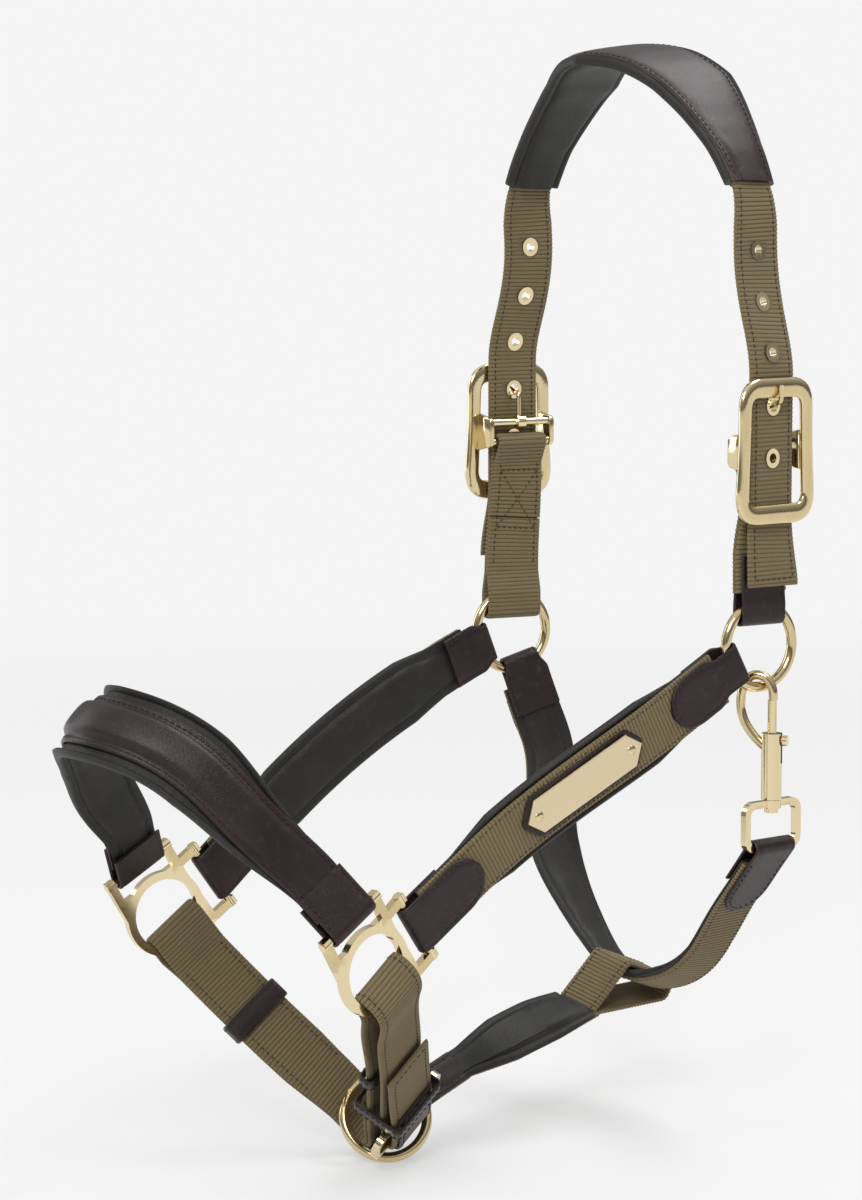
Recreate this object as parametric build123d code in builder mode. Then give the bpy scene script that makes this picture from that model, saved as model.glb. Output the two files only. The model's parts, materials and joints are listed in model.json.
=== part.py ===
"""Padded headcollar of webbing and leather, buckled in the shape it is worn in.

Frame: +Z is up, the nose points along -Y and the near side (the animal's left) is +X.
The origin is the underside of the poll pad at its middle. All sizes are millimetres.
Off-side pieces are built on the near side and mirrored across the YZ plane.
"""
import os
from math import cos, radians, sin, sqrt

from build123d import *

os.makedirs("parts", exist_ok=True)

# ---- webbing, leather and gaps
WEB_WIDTH = 30.0
WEB = 2.0
LEATHER = 1.6
STITCH_GAP = 0.2        # between layers sewn together
CLEAR = 0.3             # between a strap and the metal it goes round
FOLD_NECK = 11.0        # from a ring or bar to where a fold closes on its layers
DOUBLE = 2.1            # half the thickness of doubled webbing
CHANNEL = 2.5           # half the space between the legs of a leather chape
CHAPE_FRONT = 42.0
CHAPE_BACK = 24.0
CHAPE_WIDTH = 26.0
RING_LOOP = 20.0          # leather narrowed where it goes round a cheek ring

# ---- round rings
RING_RADIUS = 20.0
WIRE_RADIUS = 2.5

# ---- crown
PAD_END = (80.0, 15.5, -58.0)
STRAP_X = 95.0          # where the crown strap hangs straight through its buckle
STRAP_Y = 16.0
STRAP_TURN = 4.0        # degrees that the crown strap faces rearwards
STRAIGHT_TOP = -148.0
STRAIGHT_END = -216.0
TAIL_LIFT = 3.4
TAIL_END = -249.0
HOLE_PITCH = 25.0
HOLE_IN_USE = -163.0
EYELET_RADIUS = 4.7
EYELET_BORE = 2.4
WORN_BORE = 3.0

# ---- crown buckle
BUCKLE_CENTRE = -184.5
BUCKLE_SIZE = (57.0, 70.0)
WINDOW_SIZE = (39.0, 51.0)
RAIL = 3.3
RAIL_BACK = 1.8
BAR_RADIUS = 2.0
BAR_DEPTH = 6.2
TONGUE_BAR = -179.5
TAB_BAR = -189.5
LUG_REACH = 19.0
TAB_DEPTH = 4.0
TONGUE_WIRE = 1.15
TAB_CHAPE = 24.0

# ---- cheek rings: how far each is turned about the vertical, and its height
SIDES = {
    "near": {"turn": -6.0, "ring_z": -278.0, "cheek_drop": 0.54, "off_side": False},
    "off": {"turn": 14.0, "ring_z": -288.0, "cheek_drop": 0.38, "off_side": True},
}
RING_X = 91.7
RING_Y = 13.0

# ---- noseband brackets
BRACKET_CENTRE = Vector(81.5, -213.8, -406.7)
BRACKET_TURN = 6.0
BRACKET_HOLE = 16.8
BRACKET_RIM = 20.8
BRACKET_THICK = 4.0
BRACKET_BAR = 2.2
NOSE_SLOT_EDGE = 18.4
CHEEK_SLOT_EDGE = 20.2
SLOT_REACH = 10.0
ARM_REACH = 12.6
ARM_THICK = 4.2

# ---- chin and jaw
LEAD_RING = Vector(0, -143, -502)
LEAD_NORMAL = Vector(0.756, -0.42, 0.4975).normalized()
CHIN_ACROSS = Vector(-0.032, 0.784, 0.614).normalized()      # width direction of the chin straps
NEAR_LEG = Vector(0.651, -0.45, 0.609)                       # from the lead ring to the near bracket
LEAD_SIDE = Vector(-0.648, -0.48, 0.579).normalized()        # from the ring's centre to the strap's bend
HOLE_LOW = (0.596, -0.803)                                   # where the chin straps cross a bracket's rim
HOLE_BAR = 18.9
HOLE_DEPTH = 9.3
BEND_WIDTH = 26.0
JAW_SIDE = Vector(0.16, 0.858, 0.482)
JAW_RING_WIDTH = 16.0
THROAT_LOW = Vector(0, 14, -455)
LOOP_WIDTH = 25.0          # webbing loop of the jaw strap, round the throat strap

# ---- snap hook
SNAP_X = 97.9
SNAP_Y = 16.3
HOOK_WAY = (0.848, 0.53)
HOOK_WIRE = 2.25
BARREL_RADIUS = 5.0
BARREL_TOP = -320.0
BARREL_LOW = -352.0
BORE_FLOOR = -348.5
BOLT_RADIUS = 2.2
BOLT_TOP = -304.0
BOLT_LOW = -333.0
KNOB = -323.5
RIVET_RADIUS = 1.9
EYE_TOP = -352.3
EYE_HEIGHT = 24.5
EYE_WIDTH = 37.0
EYE_WIRE = 1.7


def turned(degrees):
    """Across (rearwards) and outward directions of a plane turned about the vertical."""
    angle = radians(degrees)
    return Vector(-sin(angle), cos(angle), 0), Vector(cos(angle), sin(angle), 0)


def off(vector):
    """The same point or direction on the off side."""
    return Vector(-vector.X, vector.Y, vector.Z)


def value(profile, t):
    """A number, or evenly spaced numbers or vectors, read off at t from 0 to 1."""
    if not isinstance(profile, (list, tuple)):
        return profile
    place = min(max(t, 0.0), 1.0) * (len(profile) - 1)
    index = min(int(place), len(profile) - 2)
    share = place - index
    return profile[index] * (1 - share) + profile[index + 1] * share


def vectors(points):
    return [Vector(*point) for point in points]


def ribbon(path, facings, width, low, high, steps=8, start=0.0, end=1.0, shift=0.0):
    """One strap layer along a path. low and high are its faces along the outward normal."""
    with BuildPart() as layer:
        for i in range(steps + 1):
            t = start + (end - start) * i / steps
            along = path % t
            across = value(facings, t).cross(along).normalized()
            centre = path @ t + Vector(0, value(shift, t), 0)
            with BuildSketch(Plane(origin=centre, x_dir=across, z_dir=along)):
                bottom = value(low, t)
                top = value(high, t)
                with Locations((0, (bottom + top) / 2)):
                    Rectangle(value(width, t), top - bottom)
        loft()
    return layer.part


def fold_plane(wire, width_dir, target):
    """Plane across a folded strap end: x runs along the strap, y faces outward."""
    along = Vector(*target) - wire
    along = (along - width_dir * along.dot(width_dir)).normalized()
    return Plane(origin=wire, x_dir=along, z_dir=width_dir)


def fold(plane, width, bore, thick, inward=(0, 0), channel=0.0, neck=FOLD_NECK, front=0.0, back=0.0,
         centre=0.0, legs=0.0):
    """A strap end folded round metal of the given clear bore.

    inward is how far the bore is stretched, for a ring's curve. channel is half the space
    between the legs, and front and back are how far the two legs reach along the strap.
    legs is the width of the legs where it differs from the fold's.
    """
    half = channel + thick if channel else DOUBLE
    with BuildPart() as strap_end:
        with BuildSketch(plane):
            Circle(bore + thick)
            with Locations(inward):
                Circle(bore + thick)
            with Locations((neck - 0.5, centre)):
                Rectangle(1, 2 * half)
            make_hull()
        extrude(amount=width / 2, both=True)
        for leg_end, level in ((front, channel + thick / 2), (back, -channel - thick / 2)):
            if leg_end > neck:
                with BuildSketch(plane):
                    with Locations(((neck + leg_end) / 2 - 0.5, centre + level)):
                        Rectangle(leg_end - neck + 1, thick)
                extrude(amount=(legs or width) / 2, both=True)
        with BuildSketch(plane):
            Circle(bore)
            with Locations(inward):
                Circle(bore)
            if channel:
                with Locations((neck + 1, centre)):
                    Rectangle(2, 2 * channel)
            else:
                with Locations((neck - 3, centre)):
                    Circle(STITCH_GAP / 2)
            make_hull()
        extrude(amount=width / 2 + 1, both=True, mode=Mode.SUBTRACT)
    return strap_end.part


def ring_fold_inputs(centre, outward, radial, target, width):
    """Plane and bore stretch of a fold on a round ring, where radial points to it."""
    radial = radial.normalized()
    width_dir = radial.cross(outward)
    plane = fold_plane(centre + radial * RING_RADIUS, width_dir, target)
    chord = sqrt((RING_RADIUS - WIRE_RADIUS) ** 2 - (width / 2) ** 2)
    depth = RING_RADIUS - (chord + WIRE_RADIUS)
    return plane, (-depth * radial.dot(plane.x_dir), -depth * radial.dot(plane.y_dir))


def write(name, solids, off_side=False, cut=None):
    """Join the solids into one named piece, mirror it for the off side, and write it."""
    with BuildPart() as piece:
        for solid in solids:
            add(solid)
        if cut is not None:
            add(cut, mode=Mode.SUBTRACT)
        if off_side:
            mirror(about=Plane.YZ, mode=Mode.REPLACE)
    piece.part.label = name
    export_step(piece.part, f"parts/{name}.step")
    return piece.part


def torus_ring(centre, outward):
    with BuildPart() as ring:
        with BuildSketch(Plane(origin=centre, x_dir=outward.cross(Vector(0, 0, 1)).normalized(),
                               z_dir=outward.cross(Vector(0, 0, 1)).cross(outward))):
            with Locations((RING_RADIUS, 0)):
                Circle(WIRE_RADIUS)
        revolve(axis=Axis(centre, outward))
    return ring.part


# ------------------------------------------------------------------ poll pad
def crown_arch():
    """Arch over the poll in the XZ plane, from the near pad end to the off pad end."""
    points = [(80, -58), (72, -43.5), (60, -28), (40, -8.5), (20, 2.5), (0, 5)]
    half = [(x, PAD_END[1], z) for x, z in points]
    other = [(-x, y, z) for x, y, z in reversed(half[:-1])]
    return Spline(*half, *other, tangents=((-0.45, 0, 0.9), (-0.45, 0, -0.9)))


ARCH = crown_arch()
PAD_FACING = vectors([(1, 0.07, 0.3), (0.8, -0.1, 0.7), (0, -0.13, 1), (-0.8, -0.1, 0.7), (-1, 0.07, 0.3)])
PAD_SHIFT = [0, -0.5, -0.5, -1, -8, -15.5, -8, -1, -0.5, -0.5, 0]
COVER_WIDTH = [28, 31, 37, 44, 46, 46, 46, 44, 37, 31, 28]
LINING_WIDTH = [33, 36, 43, 51, 53, 53, 53, 51, 43, 36, 33]


def poll_pad():
    write("poll_pad_cover", [ribbon(ARCH, PAD_FACING, COVER_WIDTH, 1.2, 3.2, 12, shift=PAD_SHIFT)])
    write("poll_pad_lining", [ribbon(ARCH, PAD_FACING, LINING_WIDTH, -5.0, -1.2, 12, shift=PAD_SHIFT)])
    core_width = [width - 2 for width in COVER_WIDTH]
    write("poll_pad_core",
          [ribbon(ARCH, PAD_FACING, core_width, -1.0, 1.0, 12, 0.09, 0.91, shift=PAD_SHIFT)])


# ------------------------------------------------------------------ crown strap
def crown_strap(side, turn, off_side):
    """The punched strap end that hangs from the pad, with its eyelets."""
    _, outward = turned(STRAP_TURN)
    _, ring_outward = turned(turn)
    top = Vector(*PAD_END)
    hang = Vector(STRAP_X, STRAP_Y, STRAIGHT_TOP)
    upper = Spline(top, (83, 16.5, -90), (89, 16.5, -122), hang,
                   tangents=(ARCH % 0 * -1, (0, 0, -1)))
    low = Vector(STRAP_X, STRAP_Y, STRAIGHT_END)
    middle = Line(hang, low)
    lifted = low + outward * 2.7 + Vector(0, -1, -24)
    tail_end = low + outward * TAIL_LIFT + Vector(0, -1, TAIL_END - STRAIGHT_END)
    tail = Spline(low, lifted, tail_end, tangents=((0, 0, -1), (0, 0, -1)))
    facing = [outward, outward]
    pad_side = [Vector(1, 0.07, 0.3), outward]
    half = WEB / 2
    sewn_in = ribbon(ARCH, PAD_FACING, [26, 28, 28], -0.6, half, 3, 0.0, 0.06)
    layers = [
        sewn_in,
        ribbon(upper, pad_side, [26, WEB_WIDTH, WEB_WIDTH, WEB_WIDTH], -half, half, 6),
        ribbon(middle, facing, WEB_WIDTH, -half, half, 1),
        ribbon(tail, [outward, (outward + ring_outward) / 2, ring_outward], WEB_WIDTH, -half, half, 4),
    ]
    # holes run down the strap at one pitch; the buckle holds the fourth
    above = STRAIGHT_TOP - HOLE_IN_USE
    places = []
    for step in (3, 2, 1):
        t = 1 - (step * HOLE_PITCH - above) / upper.length
        places.append((upper @ t, upper % t, value(pad_side, t), EYELET_BORE))
    for z, bore in ((HOLE_IN_USE, WORN_BORE), (HOLE_IN_USE - HOLE_PITCH, EYELET_BORE)):
        places.append((Vector(STRAP_X, STRAP_Y, z), Vector(0, 0, -1), outward, bore))
    with BuildPart() as holes:
        for centre, along, facing_out, _ in places:
            normal = along.cross(facing_out.cross(along))
            with BuildSketch(Plane(origin=centre, x_dir=along, z_dir=normal)):
                Circle(3.6)
            extrude(amount=4, both=True)
    write(f"{side}_billet", layers, off_side, cut=holes.part)
    with BuildPart() as eyelets:
        for centre, along, facing_out, bore in places:
            normal = along.cross(facing_out.cross(along))
            plane = Plane(origin=centre, x_dir=along, z_dir=normal)
            with BuildSketch(plane):
                Circle(3.4)
            extrude(amount=half + 0.6, both=True)
            for level in (half + 0.4, -half - 0.75):
                with BuildSketch(plane.offset(level)):
                    Circle(EYELET_RADIUS)
                extrude(amount=0.35)
            with BuildSketch(plane):
                Circle(bore)
            extrude(amount=half + 2, both=True, mode=Mode.SUBTRACT)
    write(f"{side}_eyelets", [eyelets.part], off_side)


def crown_buckle(side, off_side):
    """Buckle frame with its two cast bars, and the tongue on the upper one."""
    across, outward = turned(STRAP_TURN)
    centre = Vector(STRAP_X, STRAP_Y, BUCKLE_CENTRE)
    face = Plane(origin=centre + outward * RAIL_BACK, x_dir=across, z_dir=outward)
    with BuildPart() as frame:
        with BuildSketch(face):
            with BuildSketch(mode=Mode.PRIVATE) as outline:
                Trapezoid(BUCKLE_SIZE[0], BUCKLE_SIZE[1], 87.5)
                fillet(outline.vertices(), 15)
            with BuildSketch(mode=Mode.PRIVATE) as window:
                Trapezoid(WINDOW_SIZE[0], WINDOW_SIZE[1], 88)
                fillet(window.vertices(), 3)
            add(outline.sketch)
            add(window.sketch, mode=Mode.SUBTRACT)
        extrude(amount=RAIL)
        front = frame.faces().sort_by(Axis(centre, outward))[-1]
        fillet(front.edges(), 1.2)
        with BuildSketch(face):
            for way in (-1, 1):
                with Locations((way * LUG_REACH, 0)):
                    Rectangle(3.2, 22)
        extrude(amount=-(BAR_DEPTH + BAR_RADIUS + RAIL_BACK + 0.6))
        for bar in (TONGUE_BAR, TAB_BAR):
            level = Plane(origin=centre - outward * BAR_DEPTH + Vector(0, 0, bar - BUCKLE_CENTRE),
                          x_dir=outward, z_dir=across)
            with BuildSketch(level):
                Circle(BAR_RADIUS)
            extrude(amount=LUG_REACH, both=True)
    write(f"{side}_buckle", [frame.part], off_side)

    pivot = Vector(STRAP_X, STRAP_Y, TONGUE_BAR) - outward * BAR_DEPTH
    side_plane = Plane(origin=pivot, x_dir=(0, 0, 1), z_dir=across)
    rest = BAR_DEPTH + RAIL_BACK + RAIL + TONGUE_WIRE + 0.15
    with BuildPart() as tongue:
        with BuildLine(side_plane) as centre_line:
            FilletPolyline((2.7, 0.3), (14.0, 0.6), (18.9, rest), (26.5, rest), radius=2.0)
        with BuildSketch(Plane(origin=centre_line.line @ 0, z_dir=centre_line.line % 0)):
            Circle(TONGUE_WIRE)
        sweep()
        with BuildSketch(side_plane):
            Circle(3.4)
        extrude(amount=2.5, both=True)
        with BuildSketch(side_plane):
            Circle(BAR_RADIUS + 0.08)
        extrude(amount=3, both=True, mode=Mode.SUBTRACT)
    write(f"{side}_buckle_tongue", [tongue.part], off_side)


def ring_centre(ring_z):
    return Vector(RING_X, RING_Y, ring_z)


def crown_tab(side, turn, ring_z, off_side):
    """Doubled webbing from the buckle's lower bar down to the cheek ring."""
    across, outward = turned(STRAP_TURN)
    bar = Vector(STRAP_X, STRAP_Y, TAB_BAR) - outward * BAR_DEPTH
    _, ring_outward = turned(turn)
    centre = ring_centre(ring_z)
    stack = BAR_DEPTH - TAB_DEPTH
    top_plane = Plane(origin=bar, x_dir=(0, 0, -1), z_dir=across * -1)
    top_fold = fold(top_plane, WEB_WIDTH, BAR_RADIUS + CLEAR, WEB, centre=stack)
    start = bar + outward * stack + Vector(0, 0, -FOLD_NECK)
    if off_side:
        plane, inward = ring_fold_inputs(centre, ring_outward, Vector(0, 0, 1), start, WEB_WIDTH)
        bottom = fold(plane, WEB_WIDTH, WIRE_RADIUS + CLEAR, WEB, inward)
        end = plane.origin + plane.x_dir * FOLD_NECK
        path = Spline(start, end, tangents=((0, 0, -1), plane.x_dir * -1))
        strap = ribbon(path, [outward, plane.y_dir], WEB_WIDTH, -DOUBLE, DOUBLE, 4)
        write("off_tab", [top_fold, strap, bottom], off_side)
        return
    plane, inward = ring_fold_inputs(centre, ring_outward, Vector(0, 0, 1), start, CHAPE_WIDTH)
    straight = plane.origin + plane.x_dir * (TAB_CHAPE + 1)
    path = Spline(start, straight, tangents=((0, 0, -1), plane.x_dir * -1))
    strap = ribbon(path, [outward, outward, plane.y_dir], WEB_WIDTH, -DOUBLE, DOUBLE, 4)
    held = ribbon(Line(straight, plane.origin + plane.x_dir * 6), [plane.y_dir, plane.y_dir], WEB_WIDTH,
                  -DOUBLE, DOUBLE, 1)
    write("near_tab", [top_fold, strap, held], off_side)
    chape = fold(plane, CHAPE_WIDTH, WIRE_RADIUS + CLEAR, LEATHER, inward, channel=DOUBLE + STITCH_GAP,
                 neck=5, front=18, back=TAB_CHAPE)
    write("near_tab_chape", [chape], off_side)


# ------------------------------------------------------------------ cheekpieces
def bracket_plane():
    across, outward = turned(BRACKET_TURN)
    return Plane(origin=BRACKET_CENTRE, x_dir=across, z_dir=outward)


def slot_axes(which):
    """Outward and lengthwise directions of a bracket slot, in the bracket's plane."""
    if which == "nose":
        return Vector(-0.507, 0.862, 0), Vector(0.862, 0.507, 0), NOSE_SLOT_EDGE, 0.0
    return Vector(0.81, 0.586, 0), Vector(0.586, -0.81, 0), CHEEK_SLOT_EDGE, 2.2


def bracket_bar(which):
    """Middle of a slot's bar, and its width direction, in the shared frame."""
    outward, lengthwise, edge, middle = slot_axes(which)
    local = outward * (edge + SLOT_REACH) + lengthwise * middle
    plane = bracket_plane()
    return plane.from_local_coords(local), plane.x_dir * lengthwise.X + plane.y_dir * lengthwise.Y


def bracket(side, off_side):
    plane = bracket_plane()
    with BuildPart() as plate:
        with BuildSketch(plane):
            Circle(BRACKET_RIM)
            for which in ("nose", "cheek"):
                outward, lengthwise, edge, middle = slot_axes(which)
                turn = Vector(1, 0, 0).get_signed_angle(lengthwise, Vector(0, 0, 1))
                with Locations(Location(lengthwise * middle + outward * edge / 2, (0, 0, turn))):
                    Rectangle(38.4, edge)
                for way in (-1, 1):
                    centre = lengthwise * (middle + way * 17.1) + outward * (edge + ARM_REACH / 2 - 2)
                    with Locations(Location(centre, (0, 0, turn))):
                        Rectangle(ARM_THICK, ARM_REACH + 4)
            Circle(BRACKET_HOLE, mode=Mode.SUBTRACT)
        extrude(amount=BRACKET_THICK / 2, both=True)
        for which in ("nose", "cheek"):
            middle_point, width_dir = bracket_bar(which)
            with BuildSketch(Plane(origin=middle_point, z_dir=width_dir)):
                Circle(BRACKET_BAR)
            extrude(amount=19.6, both=True)
    write(f"{side}_bracket", [plate.part], off_side)


def cheekpiece(side, turn, ring_z, cheek_drop, off_side):
    """Lined webbing from the cheek ring to the bracket, with a leather chape at each end."""
    ring_across, ring_outward = turned(turn)
    centre = ring_centre(ring_z)
    bar, bar_width = bracket_bar("cheek")
    radial = ring_across * -1 + Vector(0, 0, -cheek_drop)
    top_plane, inward = ring_fold_inputs(centre, ring_outward, radial, bar, RING_LOOP)
    low_plane = fold_plane(bar, bar_width, top_plane.origin)
    top = fold(top_plane, RING_LOOP, WIRE_RADIUS + CLEAR, LEATHER, inward, channel=CHANNEL,
               front=CHAPE_FRONT, back=CHAPE_BACK, legs=CHAPE_WIDTH)
    low = fold(low_plane, CHAPE_WIDTH, BRACKET_BAR + CLEAR, LEATHER, channel=CHANNEL,
               front=CHAPE_FRONT, back=CHAPE_BACK)
    write(f"{side}_cheek_upper_chape", [top], off_side)
    write(f"{side}_cheek_lower_chape", [low], off_side)
    path = lined_path(top_plane, low_plane, CHAPE_FRONT)
    web = [ribbon(part, facing, 27, 0.2, 2.2, steps) for part, facing, steps in path]
    write(f"{side}_cheek_webbing", web, off_side)
    low_face = [[-2.2, -2.2, -4.4], [-4.4, -4.4], [-4.4, -2.2, -2.2]]
    widths = [[27, 28, 34], [34, 34], [34, 28, 27]]
    lining = [ribbon(part, facing, width, low_level, 0.0, max(steps, 2))
              for (part, facing, steps), low_level, width in zip(path, low_face, widths)]
    write(f"{side}_cheek_lining", lining, off_side)
    return path[1][:2]


def lined_path(first, last, straight, via=(), facings=(), steps=6):
    """Two straight ends under the chapes with a smooth run between them."""
    a = first.origin + first.x_dir * (FOLD_NECK - 2)
    b = first.origin + first.x_dir * straight
    c = last.origin + last.x_dir * straight
    d = last.origin + last.x_dir * (FOLD_NECK - 2)
    middle = Spline(b, *via, c, tangents=(first.x_dir, last.x_dir * -1))
    begin = first.y_dir
    finish = last.y_dir
    return [(Line(a, b), [begin, begin], 2), (middle, [begin, *facings, finish], steps),
            (Line(c, d), [finish, finish], 2)]


def nameplate(path, facings):
    """Blank six-sided plate on a leather backing, held by two rivets."""
    t = 0.47
    along = path % t
    facing = value(facings, t)
    across = facing.cross(along).normalized()
    normal = along.cross(across)
    base = Plane(origin=path @ t + normal * 2.7, x_dir=along, z_dir=normal)
    length, height, tip = 74.0, 17.0, 7.0
    with BuildPart() as backing:
        with BuildSketch(base):
            Polygon(*hexagon(length + 6, height + 4, tip + 1), align=None)
        extrude(amount=1.2)
    write("nameplate_backing", [backing.part])
    thick = 1.0
    rivet_radius = 2.2
    rivet_at = (length - 14) / 2
    with BuildPart() as plate:
        with BuildSketch(base.offset(1.2)):
            Polygon(*hexagon(length, height, tip), align=None)
        extrude(amount=thick)
        fillet(plate.faces().sort_by(Axis(base.origin, normal))[-1].edges(), 0.4)
        with BuildSketch(base.offset(1.2)):
            with Locations((-rivet_at, 0), (rivet_at, 0)):
                Circle(rivet_radius + 0.05)
        extrude(amount=thick + 1, mode=Mode.SUBTRACT)
    with BuildPart() as rivets:
        with BuildSketch(base.offset(1.2)):
            with Locations((-rivet_at, 0), (rivet_at, 0)):
                Circle(rivet_radius)
        extrude(amount=thick)
    write("nameplate", [plate.part])
    write("nameplate_rivets", [rivets.part])


def hexagon(length, height, tip):
    """Corners of a long six-sided plate with pointed ends."""
    half = [(length / 2, 0), (length / 2 - tip, height / 2), (tip - length / 2, height / 2)]
    return half + [(-x, -y) for x, y in half]


# ------------------------------------------------------------------ noseband
def noseband():
    """Raised leather band on a padded lining, with a chape on each bracket."""
    bar, bar_width = bracket_bar("nose")
    plane = fold_plane(bar, bar_width, (70, -245.5, -363))
    reach = 22.0
    chape = fold(plane, 28, BRACKET_BAR + CLEAR, LEATHER, channel=CHANNEL, neck=9, front=reach,
                 back=reach - 4)
    for side, values in SIDES.items():
        write(f"{side}_nose_chape", [chape], values["off_side"])
    off_plane = Plane(origin=off(plane.origin), x_dir=off(plane.x_dir),
                      z_dir=off(plane.x_dir).cross(off(plane.y_dir)))
    near_via = [Vector(60, -262, -340), Vector(42, -282, -313), Vector(21, -299, -299)]
    off_via = [off(point) for point in reversed(near_via)]
    facings = vectors([(0.75, -0.4, 0.45), (0, -0.72, 0.69), (-0.75, -0.4, 0.45)])
    path = lined_path(plane, off_plane, reach, near_via + [Vector(0, -306, -295.5)] + off_via, facings, 16)
    low_face = [[-2.2, -2.2], [-2.2, -4.2, -5, -5, -5, -5, -5, -4.2, -2.2], [-2.2, -2.2]]
    high_face = [[2.2, 2.2], [2.2, 4.4, 6, 6, 6, 6, 6, 4.4, 2.2], [2.2, 2.2]]
    lining_width = [[26, 28], [28, 36, 40, 40, 40, 40, 40, 36, 28], [28, 26]]
    write("noseband_lining", [ribbon(part, facing, width, low, 0.0, steps)
                              for (part, facing, steps), low, width in zip(path, low_face, lining_width)])
    write("noseband_cover", [ribbon(part, facing, width, 0.6, high, steps)
                             for (part, facing, steps), high, width in zip(path, high_face, (26, 27, 26))])


# ------------------------------------------------------------------ chin
def ring_section(x_dir):
    """Section plane across the chin strap, at the lead ring's wire where the strap bends."""
    return Plane(origin=LEAD_RING + LEAD_SIDE * RING_RADIUS, x_dir=x_dir, z_dir=CHIN_ACROSS)


def strip(plane, points, thick, width):
    """A strap of one thickness, drawn as its middle line in a section plane."""
    with BuildPart() as piece:
        with BuildSketch(plane):
            with BuildLine() as middle:
                Spline(*points)
            trace(middle.line, line_width=thick)
        extrude(amount=width / 2, both=True)
    return piece.part


def off_chin():
    """Doubled webbing from the off bracket, through the lead ring and up to the near strap."""
    section = ring_section(NEAR_LEG)
    across, outward = turned(BRACKET_TURN)
    radial = off(across) * HOLE_LOW[0] + Vector(0, 0, HOLE_LOW[1])
    bar = off(BRACKET_CENTRE) + radial * HOLE_BAR
    behind = section.from_local_coords(Vector(-7, -12, 0))
    top = fold_plane(bar, off(outward).cross(radial), behind)
    inward = (-HOLE_DEPTH * radial.dot(top.x_dir), -HOLE_DEPTH * radial.dot(top.y_dir))
    upper = fold(top, WEB_WIDTH, BRACKET_THICK / 2 + 1.5, WEB, inward)
    start = top.origin + top.x_dir * FOLD_NECK
    behind_way = section.x_dir * -0.27 + section.y_dir * 0.963
    path = Spline(start, behind, tangents=(top.x_dir, behind_way))
    below = behind_way.cross(CHIN_ACROSS)
    if below.dot(top.y_dir) < 0:
        below = below * -1
    facing = [top.y_dir, below]
    strap = ribbon(path, facing, WEB_WIDTH, -DOUBLE, DOUBLE, 5)
    bend = strip(section, [(-6.9, -12.3), (-11.5, -1), (-17, 10), (-16, 17.5), (-8, 19), (2, 17.8), (12, 17),
                           (23, 16.2), (34, 15.4)], 2 * DOUBLE, BEND_WIDTH)
    write("off_chin_strap", [upper, strap, bend])
    t = 0.42
    along = path % t
    keeper_across = value(facing, t).cross(along).normalized()
    with BuildPart() as keeper:
        with BuildSketch(Plane(origin=path @ t, x_dir=keeper_across, z_dir=along)):
            RectangleRounded(WEB_WIDTH + 4.6, 2 * DOUBLE + 4.2, 2)
            Rectangle(WEB_WIDTH + 0.8, 2 * DOUBLE + 0.8, mode=Mode.SUBTRACT)
        extrude(amount=5.5, both=True)
    write("off_chin_keeper", [keeper.part])


def near_chin():
    """Strap through the near bracket and back to its slider, held by leather."""
    section = ring_section(NEAR_LEG)
    inner = [(10, 20.3), (40, 18.1), (80, 14.6), (112, 10.7), (122, 9.7)]
    over = [(130.5, 5.3), (137.3, 6.4), (136.7, 14.2), (128.2, 20.2)]
    outer = [(112, 20.4), (80, 23.0), (50, 25.2), (24, 27.0), (10, 27.6)]
    with BuildPart() as strap:
        with BuildSketch(section):
            with BuildLine() as middle:
                Spline(*inner, *over, *outer)
            trace(middle.line, line_width=WEB)
            with BuildLine() as turn_up:
                Spline((10.2, 27.6), (6.2, 27.8), (4.3, 30.6), (6.2, 33.6), (9.5, 34.2), (24, 33.6),
                       (45, 31.0), (73, 28.0))
            trace(turn_up.line, line_width=WEB)
        extrude(amount=WEB_WIDTH / 2, both=True)
    write("near_chin_strap", [strap.part])

    guard = [(34, 34.8), (23.5, 35.8), (9, 36.4), (2.6, 34.6), (0.4, 29.5), (-4, 24.6), (-14, 23),
             (-20.4, 18), (-20.8, 10), (-15.8, 0), (-12.1, -8), (-10.4, -14)]
    write("near_chin_chape", [strip(section, guard, LEATHER, BEND_WIDTH - 1)])
    frame_plane = Plane(origin=section.from_local_coords(Vector(15.2, 30.6, 0)), x_dir=CHIN_ACROSS,
                        z_dir=section.y_dir)
    with BuildPart() as slider:
        with BuildSketch(frame_plane):
            RectangleRounded(51, 16.6, 6)
            RectangleRounded(44.6, 10.2, 3, mode=Mode.SUBTRACT)
        extrude(amount=1.6, both=True)
    write("chin_slider", [slider.part])
    for name, x, low, high in (("near_chin_keeper_lower", 30, 12.4, 36.8),
                               ("near_chin_keeper_upper", 62, 13.9, 18.7)):
        keeper_plane = Plane(origin=section.from_local_coords(Vector(x, (low + high) / 2, 0)),
                             x_dir=CHIN_ACROSS, z_dir=section.x_dir)
        with BuildPart() as keeper:
            with BuildSketch(keeper_plane):
                RectangleRounded(WEB_WIDTH + 4.6, high - low + 3.4, 1.8)
                Rectangle(WEB_WIDTH + 1.2, high - low, mode=Mode.SUBTRACT)
            extrude(amount=4.5, both=True)
        write(name, [keeper.part])


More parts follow.
